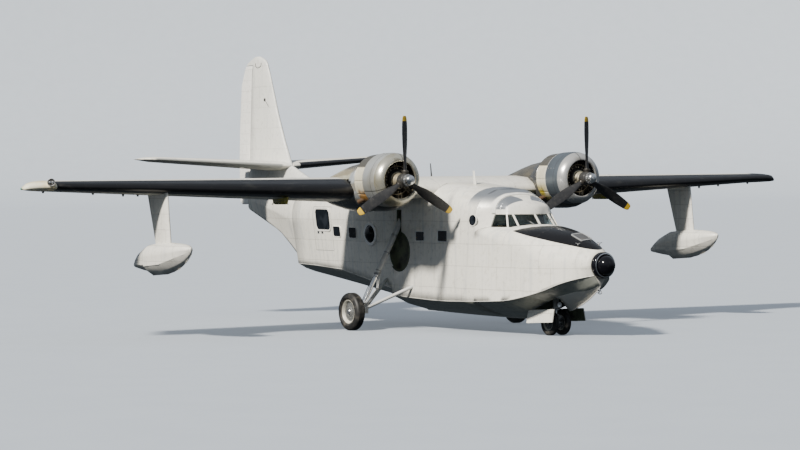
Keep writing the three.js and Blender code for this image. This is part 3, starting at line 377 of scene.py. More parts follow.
def smoothed(piece, degrees):
    """Curved plates shade as one surface, and edges sharper than this stay crisp."""
    only(piece)
    bpy.ops.object.shade_smooth_by_angle(angle=math.radians(degrees), keep_sharp_edges=False)
    weighing = piece.modifiers.new("weighed", "WEIGHTED_NORMAL")
    weighing.keep_sharp = True
    bpy.ops.object.modifier_apply(modifier=weighing.name)
    return piece


def coated(piece, *finishes):
    """The piece's finishes. Its faces keep to the first until they are told another."""
    piece.data.materials.clear()
    for finish in finishes:
        piece.data.materials.append(finish)
    return piece


def fitted(piece, name, body="airframe", replaced=()):
    """The finished piece gets its name and goes onto the body that carries it."""
    piece.name = name
    piece.data.name = name
    piece.data.validate()
    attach(piece, body)
    if replaced:
        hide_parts(*replaced)
    return piece


def skin(node, finish, body="airframe", degrees=34, inner=None, inside=None, below=None):
    """The finished plating of one CAD node: its own triangles joined into one smooth surface.
    Faces for which inside says yes take the inner finish, and the planing bottom takes the one below."""
    piece = bpy.data.objects.new(node + "_skin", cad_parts[node].data.copy())
    bpy.context.collection.objects.link(piece)
    only(piece)
    bpy.ops.object.mode_set(mode="EDIT")
    bpy.ops.mesh.select_all(action="SELECT")
    bpy.ops.mesh.remove_doubles(threshold=0.0002)
    bpy.ops.mesh.tris_convert_to_quads(face_threshold=math.radians(1), shape_threshold=math.radians(60))
    bpy.ops.object.mode_set(mode="OBJECT")
    smoothed(piece, degrees)
    coated(piece, finish, *[other for other in (inner, below) if other])
    for face in piece.data.polygons:
        face.material_index = 1 if inner and inside(face.center, face.normal) else 0
        if below and not face.material_index and on_bottom(face.center, face.normal):
            face.material_index = len(piece.data.materials) - 1
    return fitted(piece, node + "_skin", body, [node])


CHINE_LINE = [(8.79, 0.205, 1.575), (8.5, 0.49, 1.5), (8.1, 0.75, 1.37), (7.6, 0.94, 1.18), (6.9, 1.1, 1.0),
              (6.35, 1.17, 0.91), (5.9, 1.2, 0.88), (4.95, 1.2, 0.84), (4.4, 1.2, 0.825), (3.6, 1.2, 0.81),
              (2.9, 1.2, 0.82), (1.02, 1.17, 0.89)]
AFT_CHINE = [(1.0, 1.1, 1.05), (-0.2, 1.06, 1.25), (-1.94, 0.96, 1.52), (-3.54, 0.79, 1.59), (-4.89, 0.57, 1.61)]


def on_bottom(at, normal):
    """The hull below its chine."""
    line = CHINE_LINE if at.x > 1.01 else AFT_CHINE
    spans = ((one, two) for one, two in zip(line, line[1:]) if one[0] >= at.x >= two[0])
    ahead, behind = next(spans, (line[0], line[0]))
    share = (ahead[0] - at.x) / max(ahead[0] - behind[0], 0.001)
    return normal.z < -0.2 and at.z < ahead[2] + (behind[2] - ahead[2]) * share + 0.01


def stem_plates(tree, place, split):
    """The plates either side of the stem keep the hull's white, without the painted shade of the rest of the bottom.
    """
    reach = times(tree, less(tree, 8.87, split["X"]), 0.346)
    near = fade(tree, less(tree, reach, calc(tree, "ABSOLUTE", split["Y"])), -0.004, 0.004)
    return [(times(tree, near, fade(tree, split["X"], 7.495, 7.505)), CREAM, 0.3)]


# The planing bottom takes a darker grey-green paint: partly water staining, mostly painted shade.
bottom_shade_and_stain = painted("bottom_shade_and_stain", (0.36, 0.375, 0.33, 1), (0.24, 0.26, 0.23, 1), (0.13, 0.14, 0.11, 1),
                         0.35, over=stem_plates)
POCKET_X, POCKET_Z, POCKET_R = 1.37, 2.07, 0.55


def in_bow_wells(at, normal):
    """The walls of the cockpit and of the nose-gear well."""
    cockpit = 5.005 < at.x < 6.605 and abs(at.y) < 0.905 and 1.79 < at.z < 2.6
    facing_in = normal.x * (at.x - 5.8) + normal.y * at.y < -0.01 or abs(normal.z) > 0.9
    flat = max(abs(part) for part in normal) > 0.99
    well = 6.32 < at.x < 7.485 and abs(at.y) < 0.445 and at.z < 1.355 and flat
    return (cockpit and facing_in) or well


def in_pockets(at, normal):
    """The wheel pockets and the leg slots above them."""
    near_pocket = abs(at.y) > 0.94 and 0.8 < at.x < 1.93 and 1.5 < at.z < 3.25
    round_pocket = math.hypot(at.x - POCKET_X, at.z - POCKET_Z) < POCKET_R
    leg_slot = abs(at.x - POCKET_X) < 0.115
    return near_pocket and (abs(at.y) < 0.955 or round_pocket or leg_slot)


skin("hull_bow", bow_white, inner=primer, inside=in_bow_wells, below=bottom_shade_and_stain)
hull_mid = skin("hull_mid", hull_white, inner=primer, inside=in_pockets, below=bottom_shade_and_stain)
skin("hull_aft", hull_white, below=bottom_shade_and_stain)
skin("hull_tail", hull_white)

# Keel and spray rails.
# A hard aluminium angle is riveted along the keel and along each chine, where the hull runs on sand and
# quays. It is painted with the hull and is chipped back to metal.
def metal(name, colour, worn, rough=0.35, metallic=1.0, stretch=(1, 1, 1), scale=6.0, over=None):
    """Bare metal with brushed grain, dull patches and grime."""
    material, tree, shader = finish_of(name)
    place, split = here(tree)
    patches = fade(tree, mottle(tree, place, scale * 0.25, 6.0), 0.35, 0.7)
    brushed = mottle(tree, place, scale * 8, 4.0, stretch)
    tone = mixed(tree, times(tree, patches, 0.6), colour, worn)
    gloss = plus(tree, rough, times(tree, plus(tree, brushed, patches), 0.12))
    for mask, over_colour, over_rough in (over(tree, place, split) if over else []):
        tone = mixed(tree, mask, tone, over_colour)
        keep = rest_of(tree, mask)
        gloss = plus(tree, times(tree, gloss, keep), times(tree, mask, over_rough))
    tree.links.new(tone, shader.inputs["Base Color"])
    tree.links.new(gloss, shader.inputs["Roughness"])
    shader.inputs["Metallic"].default_value = metallic
    rough_to(tree, shader, brushed, 0.25, 0.002)
    return material


SIDES = (("port", 1), ("starboard", -1))
rail_metal = metal("rail_metal", (0.72, 0.71, 0.67, 1), (0.5, 0.49, 0.45, 1), 0.45, 0.35)
KEEL_LINE = [(8.79, 1.3), (8.5, 1.07), (8.1, 0.85), (7.6, 0.66)]
STEP_KEEL = [(6.2, 0.418), (5.9, 0.39), (4.95, 0.39), (4.4, 0.392), (3.6, 0.4), (2.9, 0.412), (1.02, 0.455)]


def pipe(points, radius, bends="VECTOR", around=2):
    """A round rod, tube or wire along points. Bends are VECTOR for sharp ones and AUTO for a swept line."""
    bpy.ops.object.select_all(action="DESELECT")
    bpy.ops.curve.primitive_bezier_curve_add(location=(0, 0, 0))
    line = bpy.context.object
    spline = line.data.splines[0]
    spline.bezier_points.add(len(points) - 2)
    for knot, at in zip(spline.bezier_points, points):
        knot.co = at
        knot.handle_left_type = knot.handle_right_type = bends
    line.data.dimensions = "3D"
    line.data.resolution_u = 1 if bends == "VECTOR" else 6
    line.data.bevel_depth = radius
    line.data.bevel_resolution = around
    line.data.use_fill_caps = True
    bpy.ops.object.convert(target="MESH")
    bpy.ops.object.shade_smooth_by_angle(angle=math.radians(40))
    return bpy.context.object


def united(pieces):
    """Several pieces become one."""
    only(pieces[0])
    for piece in pieces:
        piece.select_set(True)
    bpy.ops.object.join()
    return bpy.context.object


rails = [pipe([(x, 0, z) for x, z in KEEL_LINE], 0.014, "AUTO"), pipe([(x, 0, z) for x, z in STEP_KEEL], 0.014)]
for _, side in SIDES:
    rails.append(pipe([(x, y * side, z) for x, y, z in CHINE_LINE], 0.011, "AUTO"))
    rails.append(pipe([(x, y * side, z) for x, y, z in AFT_CHINE], 0.009))
fitted(coated(united(rails), rail_metal), "keel_and_spray_rails")

# Hull windows, portholes and vents.
# Each window is dark acrylic sunk in a pressed frame that stands a little proud of the plating. The
# midships one is blown out as a bubble, and two small vents sit under the rear hatch's window.
surfaces = {}


def touch(node, start, direction):
    """Where a line from start meets a node of the frame, and which way the surface faces there."""
    if node not in surfaces:
        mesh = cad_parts[node].data
        surfaces[node] = BVHTree.FromPolygons([corner.co for corner in mesh.vertices],
                                              [tuple(face.vertices) for face in mesh.polygons])
    place, normal, _, _ = surfaces[node].ray_cast(Vector(start), Vector(direction).normalized())
    return place, normal


def facing(place, normal, along=(1, 0, 0)):
    """The stand at a place whose Z is the normal and whose X runs along."""
    up = normal.cross(Vector(along)).normalized()
    return Matrix.Translation(place) @ Matrix((up.cross(normal), up, normal)).transposed().to_4x4()


def settle(piece, stand=None):
    """The piece, modelled at the origin, goes where the stand is, and its place goes into its mesh."""
    only(piece)
    if stand is not None:
        piece.matrix_basis = stand @ piece.matrix_basis
    bpy.ops.object.transform_apply(location=True, rotation=True, scale=True)
    if stand is not None and stand.determinant() < 0:
        bpy.ops.object.mode_set(mode="EDIT")
        bpy.ops.mesh.select_all(action="SELECT")
        bpy.ops.mesh.normals_make_consistent(inside=False)
        bpy.ops.object.mode_set(mode="OBJECT")
    return piece


def pick(piece, wanted):
    """In edit mode, the faces for which wanted says yes are selected, and no others."""
    bpy.ops.object.mode_set(mode="EDIT")
    bpy.ops.mesh.select_mode(type="FACE")
    bpy.ops.mesh.select_all(action="DESELECT")
    bpy.ops.object.mode_set(mode="OBJECT")
    for face in piece.data.polygons:
        face.select = wanted(face)
    bpy.ops.object.mode_set(mode="EDIT")


def soften(piece, width, segments=2, degrees=40):
    """Every sharp edge gets a small round."""
    only(piece)
    rounding = piece.modifiers.new("rounded", "BEVEL")
    rounding.width = width
    rounding.segments = segments
    rounding.limit_method = "ANGLE"
    rounding.angle_limit = math.radians(degrees)
    bpy.ops.object.modifier_apply(modifier=rounding.name)
    smoothed(piece, degrees)
    return piece


def framed(width, height, corner, rim, frame_finish, pane_finish, proud=0.012, sunk=0.009, buried=0.02):
    """A pane sunk in a frame, lying flat at the origin. With no corner the frame is round."""
    bpy.ops.object.select_all(action="DESELECT")
    if corner is None:
        bpy.ops.mesh.primitive_circle_add(vertices=40, radius=0.5, fill_type="NGON", location=(0, 0, -buried))
    else:
        bpy.ops.mesh.primitive_plane_add(size=1, location=(0, 0, -buried))
    bpy.context.object.scale = (width, height, 1)
    piece = bpy.context.object
    bpy.ops.object.transform_apply(location=True, scale=True)
    bpy.ops.object.mode_set(mode="EDIT")
    bpy.ops.mesh.select_mode(type="VERT")
    bpy.ops.mesh.select_all(action="SELECT")
    if corner is not None:
        bpy.ops.mesh.bevel(offset=corner, segments=6, affect="VERTICES")
        bpy.ops.mesh.select_all(action="SELECT")
    bpy.ops.mesh.extrude_region_move(TRANSFORM_OT_translate={"value": (0, 0, proud + buried)})
    bpy.ops.mesh.select_all(action="SELECT")
    bpy.ops.mesh.fill_holes(sides=0)
    bpy.ops.mesh.select_all(action="SELECT")
    bpy.ops.mesh.normals_make_consistent(inside=False)
    bpy.ops.object.mode_set(mode="OBJECT")
    pick(piece, lambda face: face.normal.z > 0.9)
    bpy.ops.mesh.inset(thickness=rim)
    bpy.ops.mesh.extrude_region_move(TRANSFORM_OT_translate={"value": (0, 0, -sunk)})
    bpy.ops.object.mode_set(mode="OBJECT")
    coated(piece, frame_finish, pane_finish)
    for face in piece.data.polygons:
        low = face.normal.z > 0.9 and abs(face.center.z - proud + sunk) < 0.001
        face.material_index = 1 if low else 0
    return soften(piece, 0.003)


window_glass = blotched(
    "window_acrylic", (0.005, 0.007, 0.01, 1), (0.016, 0.02, 0.026, 1), 3.0, 5.0, 0.45, 0.7, 0.05, 0.08)[0]
adjusted(window_glass, "IOR", 1.35)
frame_white = painted("frame_white", (0.86, 0.85, 0.8, 1), RAIN_GREY, GRIME, 0.35, streaks=0.2, seam=0.0)
# A brighter copy of the frame white, as a painted highlight: it keeps the bubble window's ring light in the wing's
# shade.
frame_lit_white = painted("frame_lit_white", (0.94, 0.94, 0.92, 1), CREAM, RAIN_GREY, 0.3, streaks=0.1, seam=0.0)
frame_metal = metal("window_frame_metal", (0.78, 0.79, 0.78, 1), (0.55, 0.56, 0.55, 1), 0.3, 0.7)

# Columns: name, node, x, z, width, height, corner, rim, and whether the frame is bare metal.
WINDOWS = [
    ("hatch_window", "hull_aft", -2.77, 2.905, 0.98, 0.67, 0.18, 0.045, False),
    ("cabin_window_1", "hull_aft", -1.98, 2.575, 0.47, 0.32, 0.075, 0.02, False),
    ("cabin_window_2", "hull_aft", -1.09, 2.55, 0.44, 0.32, 0.07, 0.018, False),
    ("cabin_window_3", "hull_mid", 2.40, 2.50, 0.42, 0.26, 0.04, 0.014, True),
    ("cabin_window_4", "hull_mid", 3.47, 2.517, 0.44, 0.3, 0.04, 0.014, True),
    ("porthole", "hull_mid", 4.86, 2.941, 0.36, 0.32, None, 0.02, False),
]
BUBBLE_X, BUBBLE_Z = -0.12, 2.53
VENTS_X, VENTS_Z = (-3.13, -2.87), 2.54
for side_name, side in SIDES:
    for label, node, x, z, width, height, corner, rim, bare in WINDOWS:
        piece = framed(width, height, corner, rim, frame_metal if bare else frame_white, window_glass)
        settle(piece, facing(*touch(node, (x, 3 * side, z), (0, -side, 0))))
        fitted(piece, f"{label}_{side_name}")
    stand = facing(*touch("hull_mid", (BUBBLE_X, 3 * side, BUBBLE_Z), (0, -side, 0)))
    ring = framed(0.64, 0.64, None, 0.08, frame_lit_white, window_glass, 0.03)
    bpy.ops.object.select_all(action="DESELECT")
    bpy.ops.mesh.primitive_uv_sphere_add(segments=32, ring_count=20, radius=0.22, scale=(1, 1, 0.62))
    bubble = bpy.context.object
    bpy.ops.object.transform_apply(scale=True)
    bpy.ops.object.mode_set(mode="EDIT")
    bpy.ops.mesh.select_all(action="SELECT")
    bpy.ops.mesh.bisect(plane_co=(0, 0, 0), plane_no=(0, 0, 1), clear_inner=True, use_fill=True)
    bpy.ops.object.mode_set(mode="OBJECT")
    smoothed(bubble, 50)
    settle(ring, stand)
    settle(coated(bubble, window_glass), stand)
    fitted(united([ring, bubble]), f"bubble_window_{side_name}")
    vents = []
    for x in VENTS_X:
        vent = framed(0.13, 0.075, 0.012, 0.012, frame_metal, window_glass, 0.01)
        vents.append(settle(vent, facing(*touch("hull_aft", (x, 3 * side, VENTS_Z), (0, -side, 0)))))
    fitted(united(vents), f"hatch_vents_{side_name}")

# Bow ball and mooring gear.
# The radar's dark glossy ball sits in a spun metal ring on the bow's flat end, with a black recess
# round it. A mooring ring hangs from a lug on the stem, and a hatch with a pale frame lies in the deck.
BALL_X, BALL_Z, BALL_R = 8.995, 1.83, 0.25
BOW_FACE_X = 8.8003


def turned(profile, sides=48):
    """A piece turned about Z at the origin, from (radius, height) pairs. Open ends are closed flat."""
    bpy.ops.object.select_all(action="DESELECT")
    radius, height = profile[0]
    bpy.ops.mesh.primitive_circle_add(vertices=sides, radius=radius, location=(0, 0, height))
    piece = bpy.context.object
    bpy.ops.object.transform_apply(location=True)
    bpy.ops.object.mode_set(mode="EDIT")
    bpy.ops.mesh.select_mode(type="VERT")
    bpy.ops.mesh.select_all(action="SELECT")
    for wider, higher in profile[1:]:
        bpy.ops.mesh.extrude_region_move(TRANSFORM_OT_translate={"value": (0, 0, higher - height)})
        bpy.ops.transform.resize(value=(wider / radius, wider / radius, 1), center_override=(0, 0, higher))
        radius, height = wider, higher
    bpy.ops.mesh.select_all(action="SELECT")
    if tuple(profile[0]) == tuple(profile[-1]):
        bpy.ops.mesh.remove_doubles(threshold=0.00005)
    else:
        bpy.ops.mesh.fill_holes(sides=sides)
    bpy.ops.mesh.select_all(action="SELECT")
    bpy.ops.mesh.normals_make_consistent(inside=False)
    bpy.ops.object.mode_set(mode="OBJECT")
    return smoothed(piece, 32)


def pointing(place, way):
    """The stand at a place whose Z points a way."""
    turned_to = Vector(way).to_track_quat("Z", "Y").to_matrix().to_4x4()
    return Matrix.Translation(place) @ turned_to


def spun(profile, sides, stand, finish):
    """A turned piece on its stand, in its finish."""
    return coated(settle(turned(profile, sides), stand), finish)


def round_places(count, radius, first=0.0):
    """Even places round a circle, as pairs of lengths. The first is that share of a step on."""
    turns = [2 * math.pi * (number + first) / count for number in range(count)]
    return [(radius * math.cos(turn), radius * math.sin(turn)) for turn in turns]


gloss_black = painted("radome_gloss", (0.004, 0.004, 0.006, 1), (0.01, 0.01, 0.012, 1), (0.03, 0.03, 0.03, 1), 0.07,
                      streaks=0.1, seam=0.0, dent=0.0)
adjusted(gloss_black, "Specular IOR Level", 0.3)
dark_recess = painted("dark_recess", (0.02, 0.02, 0.02, 1), (0.05, 0.05, 0.05, 1), GRIME, 0.7, streaks=0.2, seam=0.0)
bright_metal = metal("bright_metal", (0.86, 0.86, 0.85, 1), (0.6, 0.6, 0.58, 1), 0.14)
steel = metal("steel", (0.46, 0.47, 0.48, 1), (0.22, 0.21, 0.2, 1), 0.36)

latitudes = [math.radians(degrees) for degrees in range(-50, 88, 6)]
cap = [(BALL_R * math.cos(latitude), BALL_R * math.sin(latitude)) for latitude in latitudes]
ball = spun(cap + [(0.002, BALL_R)], 56, pointing((BALL_X, 0, BALL_Z), (1, 0, 0)), gloss_black)
fitted(ball, "radar_ball", replaced=["nose_radome"])
cup = turned([(0.262, 0.0), (0.3, 0.0), (0.318, 0.012), (0.33, 0.04), (0.33, 0.08), (0.324, 0.084), (0.324, 0.094),
              (0.33, 0.098), (0.33, 0.15), (0.322, 0.176), (0.305, 0.194), (0.285, 0.2), (0.268, 0.196),
              (0.264, 0.18), (0.27, 0.16), (0.27, 0.03), (0.262, 0.0)], 72)
settle(cup, pointing((BOW_FACE_X, 0, BALL_Z), (1, 0, 0)))
coated(cup, gloss_black, dark_recess, bright_metal)
for face in cup.data.polygons:
    out = math.hypot(face.center.y, face.center.z - BALL_Z)
    face.material_index = 2 if face.center.x > 8.99 and 0.285 < out < 0.3 else 1 if out < 0.275 else 0
catches = []
for y, z in round_places(8, 1.0, 0.5):
    way = Vector((0, y, z))
    stand = pointing(Vector((8.9, 0, BALL_Z)) + way * 0.328, way)
    catches.append(spun([(0.012, 0.0), (0.016, 0.003), (0.016, 0.008), (0.01, 0.012)], 10, stand, steel))
fitted(united([cup] + catches), "radar_ring", replaced=["nose_ring"])

bpy.ops.object.select_all(action="DESELECT")
bpy.ops.mesh.primitive_torus_add(major_radius=0.06, minor_radius=0.011, major_segments=32, minor_segments=10,
                                 location=(8.74, 0, 1.16), rotation=(0, math.radians(60), 0))
ring = bpy.context.object
settle(ring)
lug = pipe([(8.62, 0, 1.2), (8.7, 0, 1.14), (8.755, 0, 1.2), (8.7, 0, 1.26)], 0.013, "AUTO")
fitted(coated(united([ring, lug]), steel), "mooring_ring")

lid_grey = painted("lid_grey", (0.07, 0.07, 0.07, 1), (0.03, 0.03, 0.03, 1), GRIME, 0.3, streaks=0.3, seam=0.0)
hatch_lid = framed(0.47, 0.37, 0.06, 0.03, frame_metal, lid_grey, 0.012, 0.004, 0.06)
settle(hatch_lid, facing(*touch("hull_bow", (8.02, 0, 4), (0, 0, -1))))
fitted(hatch_lid, "bow_hatch")
cleats = []
HORN_LINE = ((-0.09, 0.012), (-0.04, 0), (0.04, 0), (0.09, 0.012))
for _, side in SIDES:
    place, normal = touch("hull_bow", (8.3, 0.32 * side, 4), (0, 0, -1))
    foot = turned([(0.022, -0.01), (0.022, 0.03), (0.012, 0.04), (0.012, 0.055)], 14)
    settle(foot, pointing(place, normal))
    top = place + normal * 0.05
    horn = pipe([top + Vector((reach, 0, rise)) for reach, rise in HORN_LINE], 0.011, "AUTO")
    cleats += [foot, horn]
fitted(coated(united(cleats), steel), "mooring_cleats")

# Cockpit shell and glass.
# The canopy is a pressed shell with thin posts between flat panes. A raised hoop crosses it behind the
# side windows, and the overhead hatches ahead of the hoop are grey metal.
def overhead_hatches(tree, place, split):
    """The bare metal of the two hatches and of the roof behind the hoop."""
    outward = calc(tree, "ABSOLUTE", split["Y"])
    back = plus(tree, 5.4, times(tree, calc(tree, "MAXIMUM", less(tree, 0.3, outward), 0.0), 1.5))
    panel = times(tree, fade(tree, less(tree, split["X"], back), -0.006, 0.006),
                  rest_of(tree, fade(tree, split["X"], 5.705, 5.715)))
    panel = times(tree, panel, fade(tree, split["Z"], 3.2, 3.24))
    panel = times(tree, panel, fade(tree, outward, 0.13, 0.14))
    behind = rest_of(tree, fade(tree, split["X"], 5.2, 5.27))
    behind = times(tree, behind, fade(tree, split["Z"], 3.2, 3.6))
    return [(calc(tree, "MAXIMUM", panel, behind), *ROOF_METAL)]


canopy_white = painted("canopy_white", (0.86, 0.84, 0.77, 1), RAIN_GREY, GRIME, streaks=0.2, stringer_pitch=1.3,
                       frame_pitch=1.7, over=overhead_hatches)
canopy = skin("cockpit_canopy", canopy_white, degrees=26)

glass = blotched(
    "cockpit_glass", (0.62, 0.7, 0.7, 1), (0.52, 0.58, 0.58, 1), 5.0, 5.0, 0.5, 0.75, 0.02, 0.05, (1, 1, 0.4))[0]
adjusted(glass, "Transmission Weight", 1.0)
adjusted(glass, "IOR", 1.3)
for slot_of_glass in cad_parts["cockpit_glazing"].material_slots:
    slot_of_glass.material = glass


def hoop(target, x, width, thickness, middle_z, radius, low_z):
    """A hoop across the roof, laid on the target's surface from a ring drawn in to it."""
    bpy.ops.object.select_all(action="DESELECT")
    bpy.ops.mesh.primitive_cylinder_add(vertices=128, radius=radius, depth=width, end_fill_type="NOTHING",
                                        location=(x, 0, middle_z), rotation=(0, math.pi / 2, 0))
    piece = bpy.context.object
    bpy.ops.object.transform_apply(location=True, rotation=True)
    bpy.ops.object.mode_set(mode="EDIT")
    bpy.ops.mesh.select_all(action="SELECT")
    bpy.ops.mesh.bisect(plane_co=(0, 0, low_z), plane_no=(0, 0, 1), clear_inner=True)
    bpy.ops.object.mode_set(mode="OBJECT")
    laid = piece.modifiers.new("laid", "SHRINKWRAP")
    laid.target = target
    laid.wrap_method = "PROJECT"
    laid.use_negative_direction = True
    laid.use_positive_direction = False
    laid.offset = -0.004
    thick = piece.modifiers.new("thick", "SOLIDIFY")
    thick.thickness = thickness
    thick.offset = 1
    only(piece)
    bpy.ops.object.modifier_apply(modifier="laid")
    bpy.ops.object.modifier_apply(modifier="thick")
    return smoothed(piece, 40)


frame_hoop = hoop(canopy, 5.335, 0.115, 0.022, 3.1, 1.5, 3.14)
fitted(coated(frame_hoop, frame_white), "cockpit_hoop")
roof_lip = hoop(hull_mid, 4.53, 0.022, 0.012, 3.1, 1.5, 3.3)
fitted(coated(roof_lip, frame_white), "cabin_roof_lip")

# Pane seals and wipers.
# Black rubber is pressed round every pane, and two short wipers rest at the foot of the windscreen.
PANE_CORNERS = [
    [(6.33, 0.0, 2.76), (6.14, 0.58, 2.76), (5.83, 0.56, 3.1), (6.03, 0.0, 3.1)],
    [(6.14, 0.58, 2.76), (5.95, 0.81, 2.76), (5.78, 0.72, 3.1), (5.83, 0.56, 3.1)],
    [(5.95, 0.81, 2.76), (5.27, 0.9, 2.76), (5.33, 0.8, 3.1), (5.78, 0.72, 3.1)],
]
rubber = painted("seal_rubber", (0.02, 0.02, 0.02, 1), (0.05, 0.05, 0.05, 1), (0.09, 0.085, 0.07, 1), 0.6,
                 streaks=0.2, seam=0.0)
seals = []
for _, side in SIDES:
    for corners in PANE_CORNERS:
        pane = [Vector((x, y * side, z)) for x, y, z in corners]
        drawn_in = []
        for count, corner in enumerate(pane):
            along = (pane[(1, 0, 3, 2)[count]] - corner).normalized()
            across = (pane[(3, 2, 1, 0)[count]] - corner).normalized()
            drawn_in.append(corner + along * 0.029 + across * 0.009 - Vector((0.022, 0.022 * side, 0)))
        seals.append(pipe(drawn_in + drawn_in[:1], 0.008))
fitted(coated(united(seals), rubber), "pane_seals")

arms = []
for _, side in SIDES:
    foot = Vector((6.385, 0.16 * side, 2.715))
    tip = Vector((6.23, 0.33 * side, 2.9))
    pivot = spun([(0.022, -0.02), (0.022, 0.02), (0.014, 0.03)], 16, pointing(foot, (0.75, 0, 0.66)), steel)
    arm = pipe([foot + Vector((0.02, 0, 0.02)), (foot + tip) / 2 + Vector((0.03, 0, 0.02)),
                tip + Vector((0.015, 0, 0.01))], 0.007, "AUTO")
    blade = pipe([tip + Vector((0.05, -0.09 * side, -0.07)), tip, tip + Vector((-0.05, 0.06 * side, 0.07))], 0.009)
    arms += [pivot, coated(arm, steel), coated(blade, rubber)]
fitted(united(arms), "wipers")

# Cockpit inside.
# Two padded seats on pedestals face a black panel of round dials, with a control column and yoke ahead
# of each. The panel's hood is crackle-finished against glare.
crackle, tree, shader, place, _ = blotched(
    "crackle_black", (0.018, 0.018, 0.019, 1), (0.05, 0.047, 0.042, 1), 9.0, 5.0, 0.5, 0.75, 0.75)
rough_to(tree, shader, mottle(tree, place, 240.0, 2.0), 0.6, 0.002)
dial_face = blotched("dial_face", (0.01, 0.01, 0.01, 1), (0.6, 0.6, 0.55, 1), 90.0, 3.0, 0.55, 0.6, 0.15)[0]


def block(low, high, edge, segments=3):
    """A block between two corners with rounded edges."""
    bpy.ops.object.select_all(action="DESELECT")
    middle = [(a + b) / 2 for a, b in zip(low, high)]
    bpy.ops.mesh.primitive_cube_add(size=1, location=middle, scale=[b - a for a, b in zip(low, high)])
    piece = bpy.context.object
    bpy.ops.object.transform_apply(location=True, scale=True)
    bpy.ops.object.mode_set(mode="EDIT")
    bpy.ops.mesh.select_all(action="SELECT")
    bpy.ops.mesh.bevel(offset=edge, segments=segments, affect="EDGES")
    bpy.ops.object.mode_set(mode="OBJECT")
    return smoothed(piece, 40)


def copy_of(piece, stand):
    """Another of the same piece, with its own mesh, moved by the stand."""
    only(piece)
    bpy.ops.object.duplicate(linked=False)
    return settle(bpy.context.object, stand)


PANEL_X = 6.17
board = coated(block((PANEL_X, -0.76, 2.15), (6.56, 0.76, 2.46), 0.03), crackle)
hood = coated(block((6.1, -0.78, 2.46), (6.59, 0.78, 2.49), 0.014), crackle)
first_dial = framed(0.1, 0.1, None, 0.01, steel, dial_face, 0.008, 0.005)
dials = []
DIAL_STEP, DIAL_ROW_STEP = 0.12, 0.13
for row in range(2):
    for column in range(12):
        stand = pointing((PANEL_X, -0.66 + DIAL_STEP * column, 2.23 + DIAL_ROW_STEP * row), (-1, 0, 0))
        dials.append(copy_of(first_dial, stand))
bpy.data.objects.remove(first_dial)
fitted(united([board, hood] + dials), "dial_panel", replaced=["instrument_panel"])

leather, tree, shader, place, creases = blotched(
    "seat_leather", (0.16, 0.11, 0.065, 1), (0.085, 0.055, 0.035, 1), 14.0, 6.0, 0.4, 0.65, 0.5)
pores = mottle(tree, place, 160.0, 3.0)
rough_to(tree, shader, plus(tree, pores, times(tree, creases, 2.0)), 0.4, 0.002)


MOST_SWELL = 0.018


def cushion(width, depth, thick):
    """A stuffed cushion at the origin, crowned above and drawn in at its seam."""
    bpy.ops.object.select_all(action="DESELECT")
    bpy.ops.mesh.primitive_cube_add(size=1, scale=(depth, width, thick))
    piece = bpy.context.object
    bpy.ops.object.transform_apply(scale=True)
    bpy.ops.object.mode_set(mode="EDIT")
    bpy.ops.mesh.select_all(action="SELECT")
    bpy.ops.mesh.subdivide(number_cuts=9)
    bpy.ops.object.mode_set(mode="OBJECT")
    stuffed = piece.modifiers.new("stuffed", "CLOTH")
    stuffed.settings.use_pressure = True
    stuffed.settings.uniform_pressure_force = 3.0
    stuffed.settings.effector_weights.gravity = 0
    stuffed.settings.tension_stiffness = 30
    stuffed.settings.compression_stiffness = 30
    before = [corner.co.copy() for corner in piece.data.vertices]
    for count in range(1, 16):
        bpy.context.scene.frame_set(count)
    only(piece)
    bpy.ops.object.modifier_apply(modifier="stuffed")
    for corner, old in zip(piece.data.vertices, before):
        move = corner.co - old
        if move.length > MOST_SWELL:
            corner.co = old + move.normalized() * MOST_SWELL
    bpy.context.scene.frame_set(1)
    finer = piece.modifiers.new("finer", "SUBSURF")
    finer.levels = finer.render_levels = 1
    only(piece)
    bpy.ops.object.modifier_apply(modifier="finer")
    bpy.ops.object.shade_smooth()
    return piece


pad = cushion(0.41, 0.4, 0.085)
SEAT_Y = 0.43
# Columns: cushion, x, z, lean in degrees, and its scale along depth, width and thickness.
CUSHIONS = [("pan", 5.47, 2.145, 0, (1, 1, 1, 1)), ("lower_back", 5.245, 2.4, 87, (1, 1, 1, 1)),
            ("upper_back", 5.238, 2.68, 88, (0.7, 0.92, 0.9, 1))]
for side_name, side in SIDES:
    y = SEAT_Y * side
    body = [coated(block((5.32, y - 0.13, 1.801), (5.6, y + 0.13, 2.09), 0.02), crackle),
            coated(block((5.24, y - 0.215, 2.082), (5.7, y + 0.215, 2.1), 0.008), steel),
            coated(block((5.182, y - 0.215, 2.1), (5.2, y + 0.215, 2.85), 0.008), steel)]
    for rail in (-0.2, 0.2):
        bent = [(5.68, y + rail, 2.1), (5.24, y + rail, 2.1), (5.2, y + rail, 2.3), (5.2, y + rail, 2.84)]
        body.append(coated(pipe(bent, 0.012, "AUTO"), steel))
    fitted(united(body), f"seat_frame_{side_name}", replaced=[f"pilot_seat_{side_name}"])
    for label, x, z, lean, size in CUSHIONS:
        stand = Matrix.Translation((x, y, z)) @ Matrix.Rotation(math.radians(lean), 4, "Y") @ Matrix.Diagonal(size)
        piece = coated(copy_of(pad, stand), leather)
        fitted(piece, f"seat_{label}_{side_name}")
    column = pipe([(6.0, y, 1.82), (5.98, y, 2.2), (5.93, y, 2.42)], 0.022, "AUTO")
    yoke = pipe([(5.9, y - 0.14, 2.53), (5.9, y - 0.15, 2.44), (5.91, y - 0.06, 2.4), (5.91, y + 0.06, 2.4),
                 (5.9, y + 0.15, 2.44), (5.9, y + 0.14, 2.53)], 0.015, "AUTO")
    fitted(coated(united([column, yoke]), crackle), f"control_column_{side_name}")
bpy.data.objects.remove(pad)
